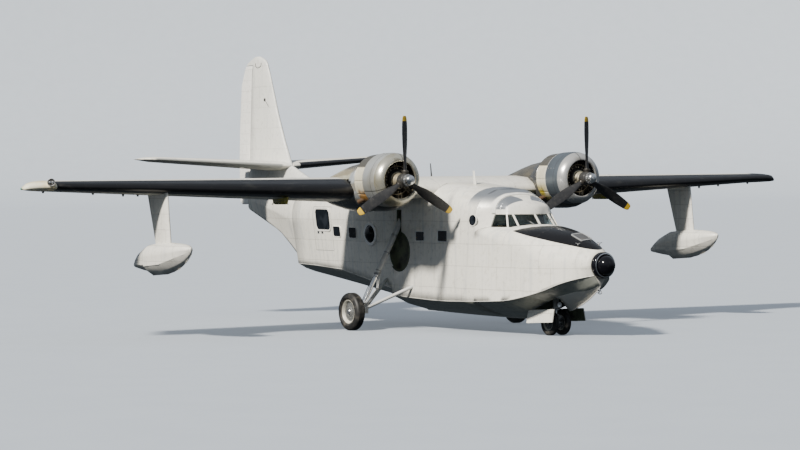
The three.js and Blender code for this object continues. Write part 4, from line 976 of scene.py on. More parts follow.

# Wings.
# Stressed-skin wings painted white above and below, long weathered and oily behind the engines. The
# underside is darkened all over as painted shade, deeper behind the engines where exhaust film also lies.
# Black rubber de-icer boots cover the outer panels' leading edges. The port tip is black and the other cream.
WING_LEAD, WING_SWEEP, WING_ROOT_Y, PLANT_Y = 2.9, 0.18, 3.7, 2.92
WING_MIDDLE_Z, WING_DIHEDRAL, WING_CHORD, WING_TAPER = 3.72, 0.025, 3.9, 0.257
BOOT_ROOT_Y, BOOT_TIP_Y, OIL_Y = 3.3, 11.4, 2.95
RUBBER_BLACK = (0.006, 0.006, 0.007, 1)


def boots(tree, place, split):
    """The rubber boots, the thin edge line along them, the oil that runs back behind each engine, and the
    painted shade over the underside, deeper behind the engines where exhaust film also lies.
    """
    outward = calc(tree, "ABSOLUTE", split["Y"])
    beyond_root = less(tree, outward, WING_ROOT_Y)
    lead = less(tree, WING_LEAD, times(tree, beyond_root, WING_SWEEP))
    middle = plus(tree, WING_MIDDLE_Z, times(tree, beyond_root, WING_DIHEDRAL))
    under = rest_of(tree, fade(tree, less(tree, split["Z"], middle), -0.01, 0.01))
    chord = less(tree, WING_CHORD, times(tree, beyond_root, WING_TAPER))
    reach = times(tree, chord, less(tree, 0.16, times(tree, under, 0.06)))
    back = less(tree, split["X"], less(tree, lead, reach))
    spanned = between(tree, outward, BOOT_ROOT_Y, BOOT_TIP_Y, 0.004)
    rubbered = times(tree, fade(tree, back, -0.003, 0.003), spanned)
    line = times(tree, between(tree, back, -0.02, 0.0, 0.003), spanned)
    tip = fade(tree, split["Y"], BOOT_TIP_Y - 0.01, BOOT_TIP_Y)
    other_tip = rest_of(tree, fade(tree, split["Y"], -BOOT_TIP_Y, 0.01 - BOOT_TIP_Y))
    stained = fade(tree, mottle(tree, place, 4.0, 5.0), 0.4, 0.65)
    # The cream tip's own faded tones.
    faded_and_shaded = mixed(tree, stained, (0.72, 0.63, 0.4, 1), (0.8, 0.77, 0.62, 1))
    off = calc(tree, "ABSOLUTE", less(tree, outward, OIL_Y))
    oily = rest_of(tree, fade(tree, off, 0.35, 1.0))
    oily = times(tree, oily, fade(tree, mottle(tree, place, 1.0, 6.0, (0.6, 9, 2)), 0.35, 0.65))
    # Painted shade: the whole underside is darkened, and more near each engine, where exhaust film adds to it.
    shade_and_exhaust = plus(tree, 0.35, times(tree, rest_of(tree, fade(tree, off, 0.6, 1.6)), 0.5))
    dusty = fade(tree, mottle(tree, place, 3.0, 8.0, (2, 0.6, 2)), 0.55, 0.8)
    boot_tone = mixed(tree, dusty, RUBBER_BLACK, (0.03, 0.029, 0.027, 1))
    return [(times(tree, under, shade_and_exhaust), (0.11, 0.115, 0.085, 1), 0.45),
            (times(tree, oily, 0.55), (0.2, 0.16, 0.09, 1), 0.4), (line, (0.75, 0.74, 0.7, 1), 0.4),
            (rubbered, boot_tone, 0.38), (tip, RUBBER_BLACK, 0.4), (other_tip, faded_and_shaded, 0.4)]


WING_CREAM = (0.8, 0.785, 0.72, 1)
wing_white = painted("wing_white", WING_CREAM, RAIN_GREY, GRIME, second="Y", frame_pitch=0.86,
                     stringer_pitch=0.82, streaks=0.25, over=boots)
adjusted(wing_white, "Specular IOR Level", 0.3)
cove_dark = painted("cove_dark", (0.16, 0.16, 0.15, 1), (0.1, 0.1, 0.1, 1), GRIME, 0.6, second="Y", streaks=0.3)


def in_coves(at, normal):
    """The coves behind the rear spar, where the flaps and ailerons hang."""
    return normal.x < -0.97 and at.x < 0.6


skin("wing_centre", wing_white, degrees=62, inner=cove_dark, inside=in_coves)
for side_name, side in SIDES:
    skin(f"wing_outer_{side_name}", wing_white, degrees=62, inner=cove_dark, inside=in_coves)

# Flaps and ailerons.
# Metal-skinned flaps and fabric-covered ailerons hang on pins in the wing's coves. Their rib tapes show
# as faint bars across the chord.
surface_white = painted("surface_white", WING_CREAM, RAIN_GREY, GRIME, second="Y", frame_pitch=3.0,
                        stringer_pitch=0.3, streaks=0.25, seam=0.3, dent=0.006)
for side_name, side in SIDES:
    for node in ("flap_inner", "flap_outer", "aileron"):
        skin(f"{node}_{side_name}", surface_white, body=f"{node}_{side_name}", degrees=62)

# Tail.
# The fin, rudder, tailplane and elevators are painted as the hull is. Painted shade darkens the
# tailplane's undersides and the low part of the starboard tailplane's nose, the fin's white is painted greyer
# as shade and the rudder's brighter as a highlight, and the moving surfaces are fabric over ribs.
TAIL_Z, TAIL_DIHEDRAL, TAIL_LEAD, TAIL_SWEEP = 4.447, 0.0538, -6.108, 0.2


def tail_boot_and_shade(tree, place, split):
    """The painted shade under the tailplane, the port side's boot, and the painted shade low on the starboard side's
    nose.
    """
    outward = calc(tree, "ABSOLUTE", split["Y"])
    above_middle = less(tree, split["Z"], plus(tree, TAIL_Z, times(tree, outward, TAIL_DIHEDRAL)))
    under = rest_of(tree, fade(tree, above_middle, -0.02, 0.0))
    back = less(tree, split["X"], less(tree, TAIL_LEAD, times(tree, outward, TAIL_SWEEP)))
    boot = times(tree, fade(tree, back, -0.14, -0.135), between(tree, split["Y"], 0.3, 3.9, 0.01))
    low = rest_of(tree, fade(tree, above_middle, 0.02, 0.055))
    # Painted shade on the lower part of the starboard tailplane's nose, which faces down, away from the light.
    faded_and_shaded = times(tree, fade(tree, back, -0.4, -0.1), between(tree, split["Y"], -4.1, -0.3, 0.05))
    return [(times(tree, under, 0.5), (0.13, 0.13, 0.11, 1), 0.5), (boot, RUBBER_BLACK, 0.4),
            (times(tree, times(tree, faded_and_shaded, low), 0.85), (0.22, 0.23, 0.225, 1), 0.45)]


tail_white = painted("tail_white", CREAM, RAIN_GREY, GRIME, second="Y", frame_pitch=0.7, stringer_pitch=0.7,
                     streaks=0.2, over=tail_boot_and_shade)
# The fin's white is painted greyer as shade, and the rudder's brighter as a painted highlight; both are the hull's
# paint.
fin_shaded_white = painted("fin_shaded_white", (0.74, 0.74, 0.7, 1), RAIN_GREY, GRIME, frame_pitch=0.9, stringer_pitch=0.62,
                    streaks=0.3, seam=0.22)
skin("fin", fin_shaded_white, degrees=62)
rudder_lit_white = painted("rudder_lit_white", (0.9, 0.89, 0.85, 1), RAIN_GREY, GRIME, frame_pitch=3.0, stringer_pitch=0.32,
                       streaks=0.15, seam=0.25, dent=0.006)
skin("rudder", rudder_lit_white, body="rudder", degrees=62)
for side_name, side in SIDES:
    skin(f"tailplane_{side_name}", tail_white, degrees=62)
    skin(f"elevator_{side_name}", surface_white, body=f"elevator_{side_name}", degrees=62)

# Nacelles.
# Fairings behind the engines run over and under the wing. They are drab cream, black on the top and on the
# side towards the cockpit against glare, and streaked brown with oil from the breathers and the exhaust.
def oil_and_glare(tree, place, split):
    """The oil streaks, the black against glare and over the belly, and the grey panel behind the firewall."""
    streaked = fade(tree, mottle(tree, place, 1.0, 6.0, (0.7, 5, 5)), 0.4, 0.62)
    low = rest_of(tree, fade(tree, split["Z"], 3.35, 3.8))
    inboard = fade(tree, less(tree, PLANT_Y, calc(tree, "ABSOLUTE", split["Y"])), -0.2, 0.1)
    port = calc(tree, "MAXIMUM", fade(tree, split["Y"], -0.1, 0.1), inboard)
    top = times(tree, fade(tree, split["Z"], 4.25, 4.35), fade(tree, split["X"], 1.6, 2.2))
    dark = times(tree, calc(tree, "MAXIMUM", calc(tree, "MAXIMUM", port, top), low), 0.9)
    wet = mixed(tree, streaked, (0.012, 0.012, 0.012, 1), (0.07, 0.062, 0.045, 1))
    panel = times(tree, between(tree, split["X"], 2.6, 3.1, 0.006), 0.8)
    return [(panel, (0.3, 0.33, 0.37, 1), 0.35),
            (times(tree, streaked, 0.75), (0.16, 0.13, 0.075, 1), 0.4), (dark, wet, 0.24)]


nacelle_green = painted("nacelle_green", (0.4, 0.385, 0.29, 1), (0.2, 0.19, 0.15, 1), GRIME, frame_pitch=0.5,
                        stringer_pitch=0.34, over=oil_and_glare, dent=0.006)
for side_name, side in SIDES:
    skin(f"nacelle_{side_name}", nacelle_green, degrees=45)

# Cowls.
# Each engine sits in a spun aluminium cowl with a polished lip, closed by three panels on toggle latches.
# Heat and oil have tinted the starboard one yellow, and the port one is painted grey-blue.
PLANT_Z, BAND_X, FIREWALL_X = 4.0, 3.44, 3.0
COWL_PANELS, COWL_JOINT_X, LIP_X = 3, 3.82, 3.98
PANEL_TURN = 0.4


def about_engine(tree, split):
    """The angle round the engine's axis, from its outboard side, and the distance from the axis."""
    off = less(tree, calc(tree, "ABSOLUTE", split["Y"]), PLANT_Y)
    up = less(tree, split["Z"], PLANT_Z)
    angle = calc(tree, "ARCTAN2", up, off)
    return angle, calc(tree, "SQRT", plus(tree, calc(tree, "POWER", off, 2.0), calc(tree, "POWER", up, 2.0)))


def panel_lines(tree, split):
    """Thin dark lines between the panels round a cowl and at the joint behind its lip."""
    angle, _ = about_engine(tree, split)
    turns = calc(tree, "DIVIDE", plus(tree, angle, PANEL_TURN), 2 * math.pi / COWL_PANELS)
    nearest = calc(tree, "PINGPONG", turns, 0.5)
    lines = rest_of(tree, fade(tree, nearest, 0.0015 * COWL_PANELS, 0.004 * COWL_PANELS))
    off = calc(tree, "ABSOLUTE", less(tree, split["X"], COWL_JOINT_X))
    return calc(tree, "MAXIMUM", lines, rest_of(tree, fade(tree, off, 0.004, 0.009)))


def silver_cowl(tree, place, split):
    hot = fade(tree, mottle(tree, place, 1.7, 5.0), 0.45, 0.7)
    lip = fade(tree, split["X"], LIP_X - 0.005, LIP_X + 0.005)
    tint = times(tree, hot, plus(tree, 0.35, times(tree, lip, 0.45)))
    low = rest_of(tree, fade(tree, split["Z"], 3.2, 3.75))
    return [(lip, (0.66, 0.64, 0.54, 1), 0.24), (tint, (0.42, 0.36, 0.2, 1), 0.3),
            (times(tree, low, 0.7), (0.07, 0.065, 0.05, 1), 0.45),
            (panel_lines(tree, split), (0.12, 0.12, 0.11, 1), 0.5)]


def blue_cowl(tree, place, split):
    lip = fade(tree, split["X"], LIP_X - 0.005, LIP_X + 0.005)
    rear = rest_of(tree, fade(tree, split["X"], 3.455, 3.46))
    low = rest_of(tree, fade(tree, split["Z"], 3.25, 3.5))
    return [(lip, (0.55, 0.55, 0.54, 1), 0.26), (rear, (0.8, 0.8, 0.78, 1), 0.3),
            (times(tree, low, 0.7), (0.05, 0.05, 0.05, 1), 0.45),
            (panel_lines(tree, split), (0.08, 0.08, 0.09, 1), 0.5)]


cowl_finish = {
    "starboard": metal("cowl_silver", (0.7, 0.71, 0.69, 1), (0.5, 0.5, 0.45, 1), 0.3, 0.78, (1, 8, 8),
                       over=silver_cowl),
    "port": metal("cowl_grey_blue", (0.13, 0.155, 0.18, 1), (0.07, 0.08, 0.09, 1), 0.3, 0.6, (1, 8, 8),
                  over=blue_cowl),
}
chin_black = painted("chin_black", (0.016, 0.016, 0.014, 1), (0.06, 0.055, 0.035, 1), GRIME, 0.28, streaks=0.6,
                     seam=0.0, dent=0.006)
COWL_PROFILE = [(0.705, 0.0), (0.712, 0.2), (0.715, 0.38), (0.709, 0.46), (0.695, 0.54), (0.667, 0.612),
                (0.63, 0.67), (0.597, 0.708), (0.56, 0.735), (0.53, 0.744), (0.505, 0.745), (0.49, 0.736),
                (0.481, 0.715), (0.48, 0.69), (0.505, 0.635), (0.56, 0.56), (0.63, 0.46), (0.685, 0.4),
                (0.685, 0.0), (0.705, 0.0)]
# Columns of the chin fairing's stations: x, half width, depth.
CHIN_ROWS = [(3.0, 0.3, 0.29), (3.5, 0.29, 0.285), (3.8, 0.27, 0.255), (3.98, 0.225, 0.205), (4.05, 0.17, 0.15)]
CHIN_TOP_Z, CHIN_CUT_Z = 3.48, 3.37


def chin_piece(y, from_x, to_x):
    """The part of the round-bellied chin fairing between two stations."""
    bpy.ops.object.select_all(action="DESELECT")
    bpy.ops.mesh.primitive_circle_add(vertices=40, radius=1, location=(CHIN_ROWS[0][0], y, CHIN_TOP_Z),
                                      rotation=(0, math.pi / 2, 0))
    piece = bpy.context.object
    bpy.ops.object.transform_apply(location=True, rotation=True)
    bpy.ops.object.mode_set(mode="EDIT")
    bpy.ops.mesh.select_mode(type="VERT")
    bpy.ops.mesh.select_all(action="SELECT")
    x, half, deep = CHIN_ROWS[0][0], 1, 1
    for next_x, next_half, next_deep in CHIN_ROWS:
        if next_x > x:
            bpy.ops.mesh.extrude_region_move(TRANSFORM_OT_translate={"value": (next_x - x, 0, 0)})
        bpy.ops.transform.resize(value=(1, next_half / half, next_deep / deep),
                                 center_override=(next_x, y, CHIN_TOP_Z))
        x, half, deep = next_x, next_half, next_deep
    bpy.ops.mesh.select_all(action="SELECT")
    bpy.ops.mesh.fill_holes(sides=0)
    for place, way in (((0, 0, CHIN_CUT_Z), (0, 0, -1)), ((from_x, 0, 0), (1, 0, 0)), ((to_x, 0, 0), (-1, 0, 0))):
        bpy.ops.mesh.select_all(action="SELECT")
        bpy.ops.mesh.bisect(plane_co=place, plane_no=way, clear_inner=True, use_fill=True)
    bpy.ops.mesh.select_all(action="SELECT")
    bpy.ops.mesh.normals_make_consistent(inside=False)
    bpy.ops.object.mode_set(mode="OBJECT")
    return smoothed(piece, 40)


for side_name, side in SIDES:
    y = PLANT_Y * side
    stand = pointing((BAND_X, y, PLANT_Z), (1, 0, 0))
    shell = spun(COWL_PROFILE, 96, stand, cowl_finish[side_name])
    scoop = coated(chin_piece(y, BAND_X + 0.003, 4.049), chin_black)
    latches = []
    for count in range(COWL_PANELS):
        for along in (0.1, 0.22, 0.34):
            turn = (count + 0.5) * math.radians(120) - PANEL_TURN * side
            way = Vector((0, math.cos(turn) * side, math.sin(turn)))
            latch = framed(0.06, 0.024, 0.006, 0.005, steel, steel, 0.006, 0.003)
            latches.append(settle(latch, facing(Vector((BAND_X + along, y, PLANT_Z)) + way * 0.7095, way)))
    fitted(united([shell, scoop] + latches), f"cowl_{side_name}", replaced=[f"cowl_{side_name}"])

# Cowl-flap bands.
# Behind each cowl a ring of overlapping flaps lets the cooling air out. They are painted cream with a black
# top against glare, and burnt orange and yellow where the exhausts come out low on each side.
EXHAUST_TURNS = (-2.3, -0.85)


def exhaust_burn(tree, place, split):
    """The scorched paint round each exhaust, its soot, and the black of the top and the belly."""
    angle, _ = about_engine(tree, split)
    near = [rest_of(tree, fade(tree, calc(tree, "ABSOLUTE", less(tree, angle, turn)), 0.25, 0.75))
            for turn in EXHAUST_TURNS]
    burnt = times(tree, calc(tree, "MAXIMUM", *near), fade(tree, mottle(tree, place, 2.5, 6.0), 0.3, 0.6))
    sooty = times(tree, burnt, fade(tree, mottle(tree, place, 6.0, 6.0), 0.5, 0.62))
    under = rest_of(tree, fade(tree, split["Z"], 3.38, 3.5))
    top = fade(tree, split["Z"], 4.34, 4.36)
    heat = mixed(tree, fade(tree, split["Y"], -0.1, 0.1), (0.36, 0.17, 0.025, 1), (0.42, 0.33, 0.015, 1))
    return [(burnt, heat, 0.45), (times(tree, sooty, 0.8), (0.05, 0.035, 0.02, 1), 0.6),
            (times(tree, calc(tree, "MAXIMUM", under, top), 0.92), (0.02, 0.019, 0.017, 1), 0.35)]


band_cream = painted("band_cream", (0.62, 0.58, 0.45, 1), (0.42, 0.38, 0.28, 1), GRIME, streaks=0.6, seam=0.0,
                     over=exhaust_burn)
# Twelve of the band's facets make a flap, and one of them is the gap.
BAND_FACETS, FLAP_SHARE = 144, 12
for side_name, side in SIDES:
    y = PLANT_Y * side
    band = turned([(0.64, 0.0), (0.678, 0.437), (0.692, 0.437), (0.659, 0.0), (0.64, 0.0)], BAND_FACETS)
    settle(band, pointing((FIREWALL_X, y, PLANT_Z), (1, 0, 0)))

    def on_flap(face):
        turn = math.atan2(face.center.z - PLANT_Z, face.center.y - y) % (2 * math.pi)
        outward = face.normal.y * (face.center.y - y) + face.normal.z * (face.center.z - PLANT_Z) > 0.3
        return outward and int(turn / (2 * math.pi) * BAND_FACETS) % FLAP_SHARE != 0

    pick(band, on_flap)
    bpy.ops.mesh.extrude_region_shrink_fatten(TRANSFORM_OT_shrink_fatten={"value": 0.009})
    bpy.ops.object.mode_set(mode="OBJECT")
    smoothed(band, 30)
    coated(band, band_cream)
    scoop = coated(chin_piece(y, FIREWALL_X, BAND_X - 0.003), chin_black)
    rust = metal(f"burnt_steel_{side_name}", (0.13, 0.08, 0.045, 1), (0.06, 0.035, 0.02, 1), 0.6, 0.6)
    stubs = []
    for turn in EXHAUST_TURNS:
        way = Vector((0, math.cos(turn) * side, math.sin(turn)))
        mouth = Vector((3.1, y, PLANT_Z)) + way * 0.6 + way * 0.07 + Vector((-0.06, 0, 0))
        stubs.append(spun([(0.06, -0.12), (0.062, 0.12), (0.066, 0.135), (0.056, 0.135), (0.052, 0.0), (0.05, -0.12),
                           (0.06, -0.12)], 28, pointing(mouth, (-0.86, way.y * 0.5, way.z * 0.5)), rust))
    fitted(united([band, scoop] + stubs), f"cowl_flap_band_{side_name}",
           replaced=[f"cowl_flaps_{side_name}"])

# Engines.
# Nine air-cooled cylinders with turned fins stand round a crankcase. Each has two rocker boxes, two
# pushrod tubes and its ignition leads, and the reduction gear's stepped case reaches out to the shaft.
def oily(tree, place, split):
    return [(fade(tree, mottle(tree, place, 7.0, 6.0), 0.5, 0.7), (0.03, 0.026, 0.02, 1), 0.35)]


fin_metal = metal("finned_metal", (0.09, 0.085, 0.08, 1), (0.03, 0.028, 0.026, 1), 0.45, 0.6, over=oily)
case_metal = metal("gear_case", (0.5, 0.46, 0.34, 1), (0.24, 0.19, 0.11, 1), 0.36, 0.5, over=oily)
case_dark = metal("crankcase", (0.05, 0.046, 0.04, 1), (0.02, 0.018, 0.015, 1), 0.5, 0.4, over=oily)
tube_metal = metal("pushrod_tube", (0.36, 0.34, 0.31, 1), (0.14, 0.13, 0.11, 1), 0.3, 0.8)
lead_sheath = metal("ignition_lead", (0.2, 0.17, 0.11, 1), (0.08, 0.07, 0.05, 1), 0.45, 0.6)

barrel_profile = [(0.09, 0.2), (0.09, 0.29)]
for count in range(11):
    low = 0.295 + count * 0.0175
    barrel_profile += [(0.084, low), (0.101, low + 0.003), (0.101, low + 0.007), (0.084, low + 0.01)]
for count in range(6):
    low = 0.492 + count * 0.02
    barrel_profile += [(0.095, low), (0.118, low + 0.003), (0.118, low + 0.009), (0.095, low + 0.012)]
barrel_profile += [(0.09, 0.615), (0.07, 0.635), (0.03, 0.645)]
cylinder = [coated(turned(barrel_profile, 22), fin_metal)]
for off in (-0.055, 0.055):
    box = block((0.0, off - 0.028, 0.6), (0.11, off + 0.028, 0.665), 0.012, 2)
    cylinder.append(coated(box, case_metal))
    cylinder.append(coated(pipe([(0.2, off * 0.7, 0.29), (0.075, off, 0.615)], 0.013), tube_metal))
    foot = pointing((0.2, off * 0.7, 0.285), (-0.3, 0, 0.95))
    cylinder.append(spun([(0.02, 0.0), (0.02, 0.025), (0.012, 0.03)], 8, foot, case_metal))
    lead = [(0.24, off * 0.5, 0.37), (0.17, off * 1.2, 0.45), (0.11, off * 1.9, 0.56)]
    cylinder.append(coated(pipe(lead, 0.006, "AUTO"), lead_sheath))
cylinder = united(cylinder)
CYLINDER_X = 3.76


def standing_out(x, y, outward_y, outward_z):
    """The stand on an engine's axis whose Z points outward and whose X points ahead."""
    forward, out = Vector((1, 0, 0)), Vector((0, outward_y, outward_z))
    return Matrix.Translation((x, y, PLANT_Z)) @ Matrix((forward, out.cross(forward), out)).transposed().to_4x4()


def bolts_round(profile, count, radius, x, y, finish):
    """A ring of bolts or nuts that face forward round an engine's axis."""
    return [spun(profile, 6, pointing((x, y + off, PLANT_Z + up), (1, 0, 0)), finish)
            for off, up in round_places(count, radius)]


for side_name, side in SIDES:
    y = PLANT_Y * side
    pieces = [copy_of(cylinder, standing_out(CYLINDER_X, y, *out)) for out in round_places(9, 1.0, 9 / 4)]
    axis = pointing((FIREWALL_X, y, PLANT_Z), (1, 0, 0))
    pieces.append(spun([(0.36, 0.001), (0.42, 0.02), (0.42, 0.06), (0.3, 0.25), (0.32, 0.56), (0.32, 0.9),
                        (0.3, 0.92)], 40, axis, case_dark))
    nose = turned([(0.3, 0.9), (0.315, 0.905), (0.315, 0.93), (0.275, 0.94), (0.25, 0.975), (0.24, 1.02),
                   (0.215, 1.03), (0.215, 1.055), (0.19, 1.065), (0.165, 1.12), (0.155, 1.125), (0.155, 1.15),
                   (0.135, 1.16), (0.12, 1.18), (0.06, 1.183), (0.06, 1.32)], 48)
    coated(settle(nose, axis), case_metal, case_dark)
    for face in nose.data.polygons:
        face.material_index = 1 if face.center.x < FIREWALL_X + 1.03 else 0
    pieces.append(nose)
    pieces += bolts_round([(0.011, 0.93), (0.011, 0.945), (0.007, 0.952)], 18, 0.297, FIREWALL_X, y, tube_metal)
    pieces.append(spun([(0.31, 0.69), (0.675, 0.69), (0.675, 0.7), (0.31, 0.7), (0.31, 0.69)], 48, axis, dark_recess))
    bpy.ops.object.select_all(action="DESELECT")
    bpy.ops.mesh.primitive_torus_add(major_radius=0.37, minor_radius=0.016, major_segments=72, minor_segments=10,
                                     location=(4.0, y, PLANT_Z), rotation=(0, math.pi / 2, 0))
    harness = coated(settle(bpy.context.object), lead_sheath)
    bpy.ops.object.shade_smooth()
    pieces.append(harness)
    fitted(united(pieces), f"radial_engine_{side_name}", replaced=[f"engine_{side_name}"])
bpy.data.objects.remove(cylinder)

# Propellers.
# Three broad forged blades, painted black with yellow tips, are clamped in a steel hub with a bright dome
# over its pitch piston. Sand has worn the paint off their leading edges.
def yellow_tips(tree, place, split):
    """The yellow tips, and the specks where sand has chipped the black."""
    _, reach = about_engine(tree, split)
    tip = fade(tree, reach, 1.515, 1.52)
    chipped = times(tree, fade(tree, mottle(tree, place, 22.0, 8.0), 0.62, 0.7), fade(tree, reach, 0.6, 1.4))
    return [(tip, (0.75, 0.48, 0.03, 1), 0.4), (times(tree, chipped, 0.35), (0.2, 0.2, 0.2, 1), 0.35)]


blade_black = painted("blade_black", (0.018, 0.018, 0.019, 1), (0.05, 0.05, 0.05, 1), (0.08, 0.075, 0.065, 1), 0.38,
                      streaks=0.2, seam=0.0, over=yellow_tips, dent=0.001)
# Columns: radius, chord, thickness, pitch in degrees.
BLADE_ROWS = [(0.12, 0.13, 0.11, 60), (0.2, 0.132, 0.105, 56), (0.33, 0.15, 0.09, 50), (0.45, 0.19, 0.072, 45),
              (0.58, 0.235, 0.056, 40), (0.7, 0.265, 0.046, 36), (0.87, 0.275, 0.039, 32), (1.03, 0.272, 0.033, 28.5),
              (1.2, 0.26, 0.028, 25), (1.38, 0.235, 0.022, 22), (1.5, 0.212, 0.0195, 20), (1.58, 0.185, 0.017, 19),
              (1.63, 0.15, 0.014, 18.4), (1.655, 0.1, 0.011, 18)]
bpy.ops.object.select_all(action="DESELECT")
radius, chord, thick, pitch = BLADE_ROWS[0]
bpy.ops.mesh.primitive_circle_add(vertices=28, radius=0.5, location=(0, 0, radius))
blade = bpy.context.object
blade.scale = (thick, chord, 1)
blade.rotation_euler = (0, 0, math.radians(pitch))
bpy.ops.object.transform_apply(location=True, rotation=True, scale=True)
bpy.ops.object.mode_set(mode="EDIT")
bpy.ops.mesh.select_mode(type="VERT")
bpy.ops.mesh.select_all(action="SELECT")
for next_radius, next_chord, next_thick, next_pitch in BLADE_ROWS[1:]:
    centre = (0, 0, next_radius)
    bpy.ops.mesh.extrude_region_move(TRANSFORM_OT_translate={"value": (0, 0, next_radius - radius)})
    bpy.ops.transform.rotate(value=math.radians(pitch), orient_axis="Z", center_override=centre)
    bpy.ops.transform.resize(value=(next_thick / thick, next_chord / chord, 1), center_override=centre)
    bpy.ops.transform.rotate(value=-math.radians(next_pitch), orient_axis="Z", center_override=centre)
    radius, chord, thick, pitch = next_radius, next_chord, next_thick, next_pitch
bpy.ops.mesh.select_all(action="SELECT")
bpy.ops.mesh.fill_holes(sides=0)
bpy.ops.mesh.select_all(action="SELECT")
bpy.ops.mesh.normals_make_consistent(inside=False)
bpy.ops.object.mode_set(mode="OBJECT")
smoothed(blade, 60)
coated(blade, blade_black)
cuff = turned([(0.07, 0.1), (0.085, 0.15), (0.085, 0.2), (0.098, 0.205), (0.098, 0.235), (0.08, 0.24),
               (0.07, 0.26)], 28)
bladed = united([blade, coated(cuff, case_dark)])
PROPELLER_X = 4.39
for side_name, side in SIDES:
    y = PLANT_Y * side
    pieces = [copy_of(bladed, standing_out(PROPELLER_X, y, *out)) for out in round_places(3, 1.0, 3 / 4)]
    axis = pointing((PROPELLER_X, y, PLANT_Z), (1, 0, 0))
    pieces.append(spun([(0.064, -0.19), (0.14, -0.19), (0.15, -0.18), (0.15, -0.13), (0.175, -0.11), (0.18, -0.06),
                        (0.18, 0.05), (0.165, 0.075), (0.145, 0.09), (0.145, 0.12), (0.12, 0.125)], 40,
                       axis, dark_recess))
    pieces.append(spun([(0.12, 0.12), (0.152, 0.122), (0.152, 0.145), (0.13, 0.15)], 40, axis, steel))
    pieces.append(spun([(0.12, 0.145), (0.128, 0.16), (0.128, 0.235), (0.122, 0.27), (0.106, 0.295), (0.08, 0.31),
                        (0.045, 0.316), (0.042, 0.322), (0.022, 0.325)], 40, axis, bright_metal))
    pieces += bolts_round([(0.011, 0.14), (0.011, 0.16), (0.007, 0.166)], 12, 0.139, PROPELLER_X, y, steel)
    fitted(united(pieces), f"propeller_blades_{side_name}", body=f"propeller_{side_name}",
           replaced=[f"propeller_{side_name}"])
bpy.data.objects.remove(bladed)

# Floats.
# Riveted metal floats hang under the outer wings on broad streamlined struts. They are painted as the
# hull is, with a rubbing strip along the keel and each chine, and filler caps on the deck.
float_white = painted("float_white", (0.84, 0.82, 0.75, 1), RAIN_GREY, GRIME, frame_pitch=0.5, stringer_pitch=0.4,
                      streaks=0.35)
FLOAT_CHINE = [(3.09, 0.016, 2.27), (2.9, 0.13, 2.19), (2.5, 0.24, 2.07), (1.9, 0.29, 1.93), (1.085, 0.285, 1.87)]
FLOAT_KEEL = [(3.09, 2.25), (2.9, 2.03), (2.5, 1.82), (1.9, 1.68), (1.085, 1.63)]
FLOAT_Y = 8.5
for side_name, side in SIDES:
    skin(f"float_{side_name}", float_white, degrees=36)
    skin(f"float_strut_{side_name}", float_white, degrees=62)
    middle = FLOAT_Y * side
    strips = [pipe([(x, middle, z) for x, z in FLOAT_KEEL], 0.008)]
    for out in (-1, 1):
        strips.append(pipe([(x, middle + y * out, z) for x, y, z in FLOAT_CHINE], 0.006))
    for x in (2.45, 1.75, 0.8):
        place, normal = touch(f"float_{side_name}", (x, middle + 0.09 * side, 3), (0, 0, -1))
        cap = turned([(0.034, -0.01), (0.034, 0.004), (0.028, 0.007), (0.012, 0.007), (0.01, 0.012)], 20)
        strips.append(settle(cap, pointing(place, normal)))
    fitted(coated(united(strips), rail_metal), f"float_strips_{side_name}")

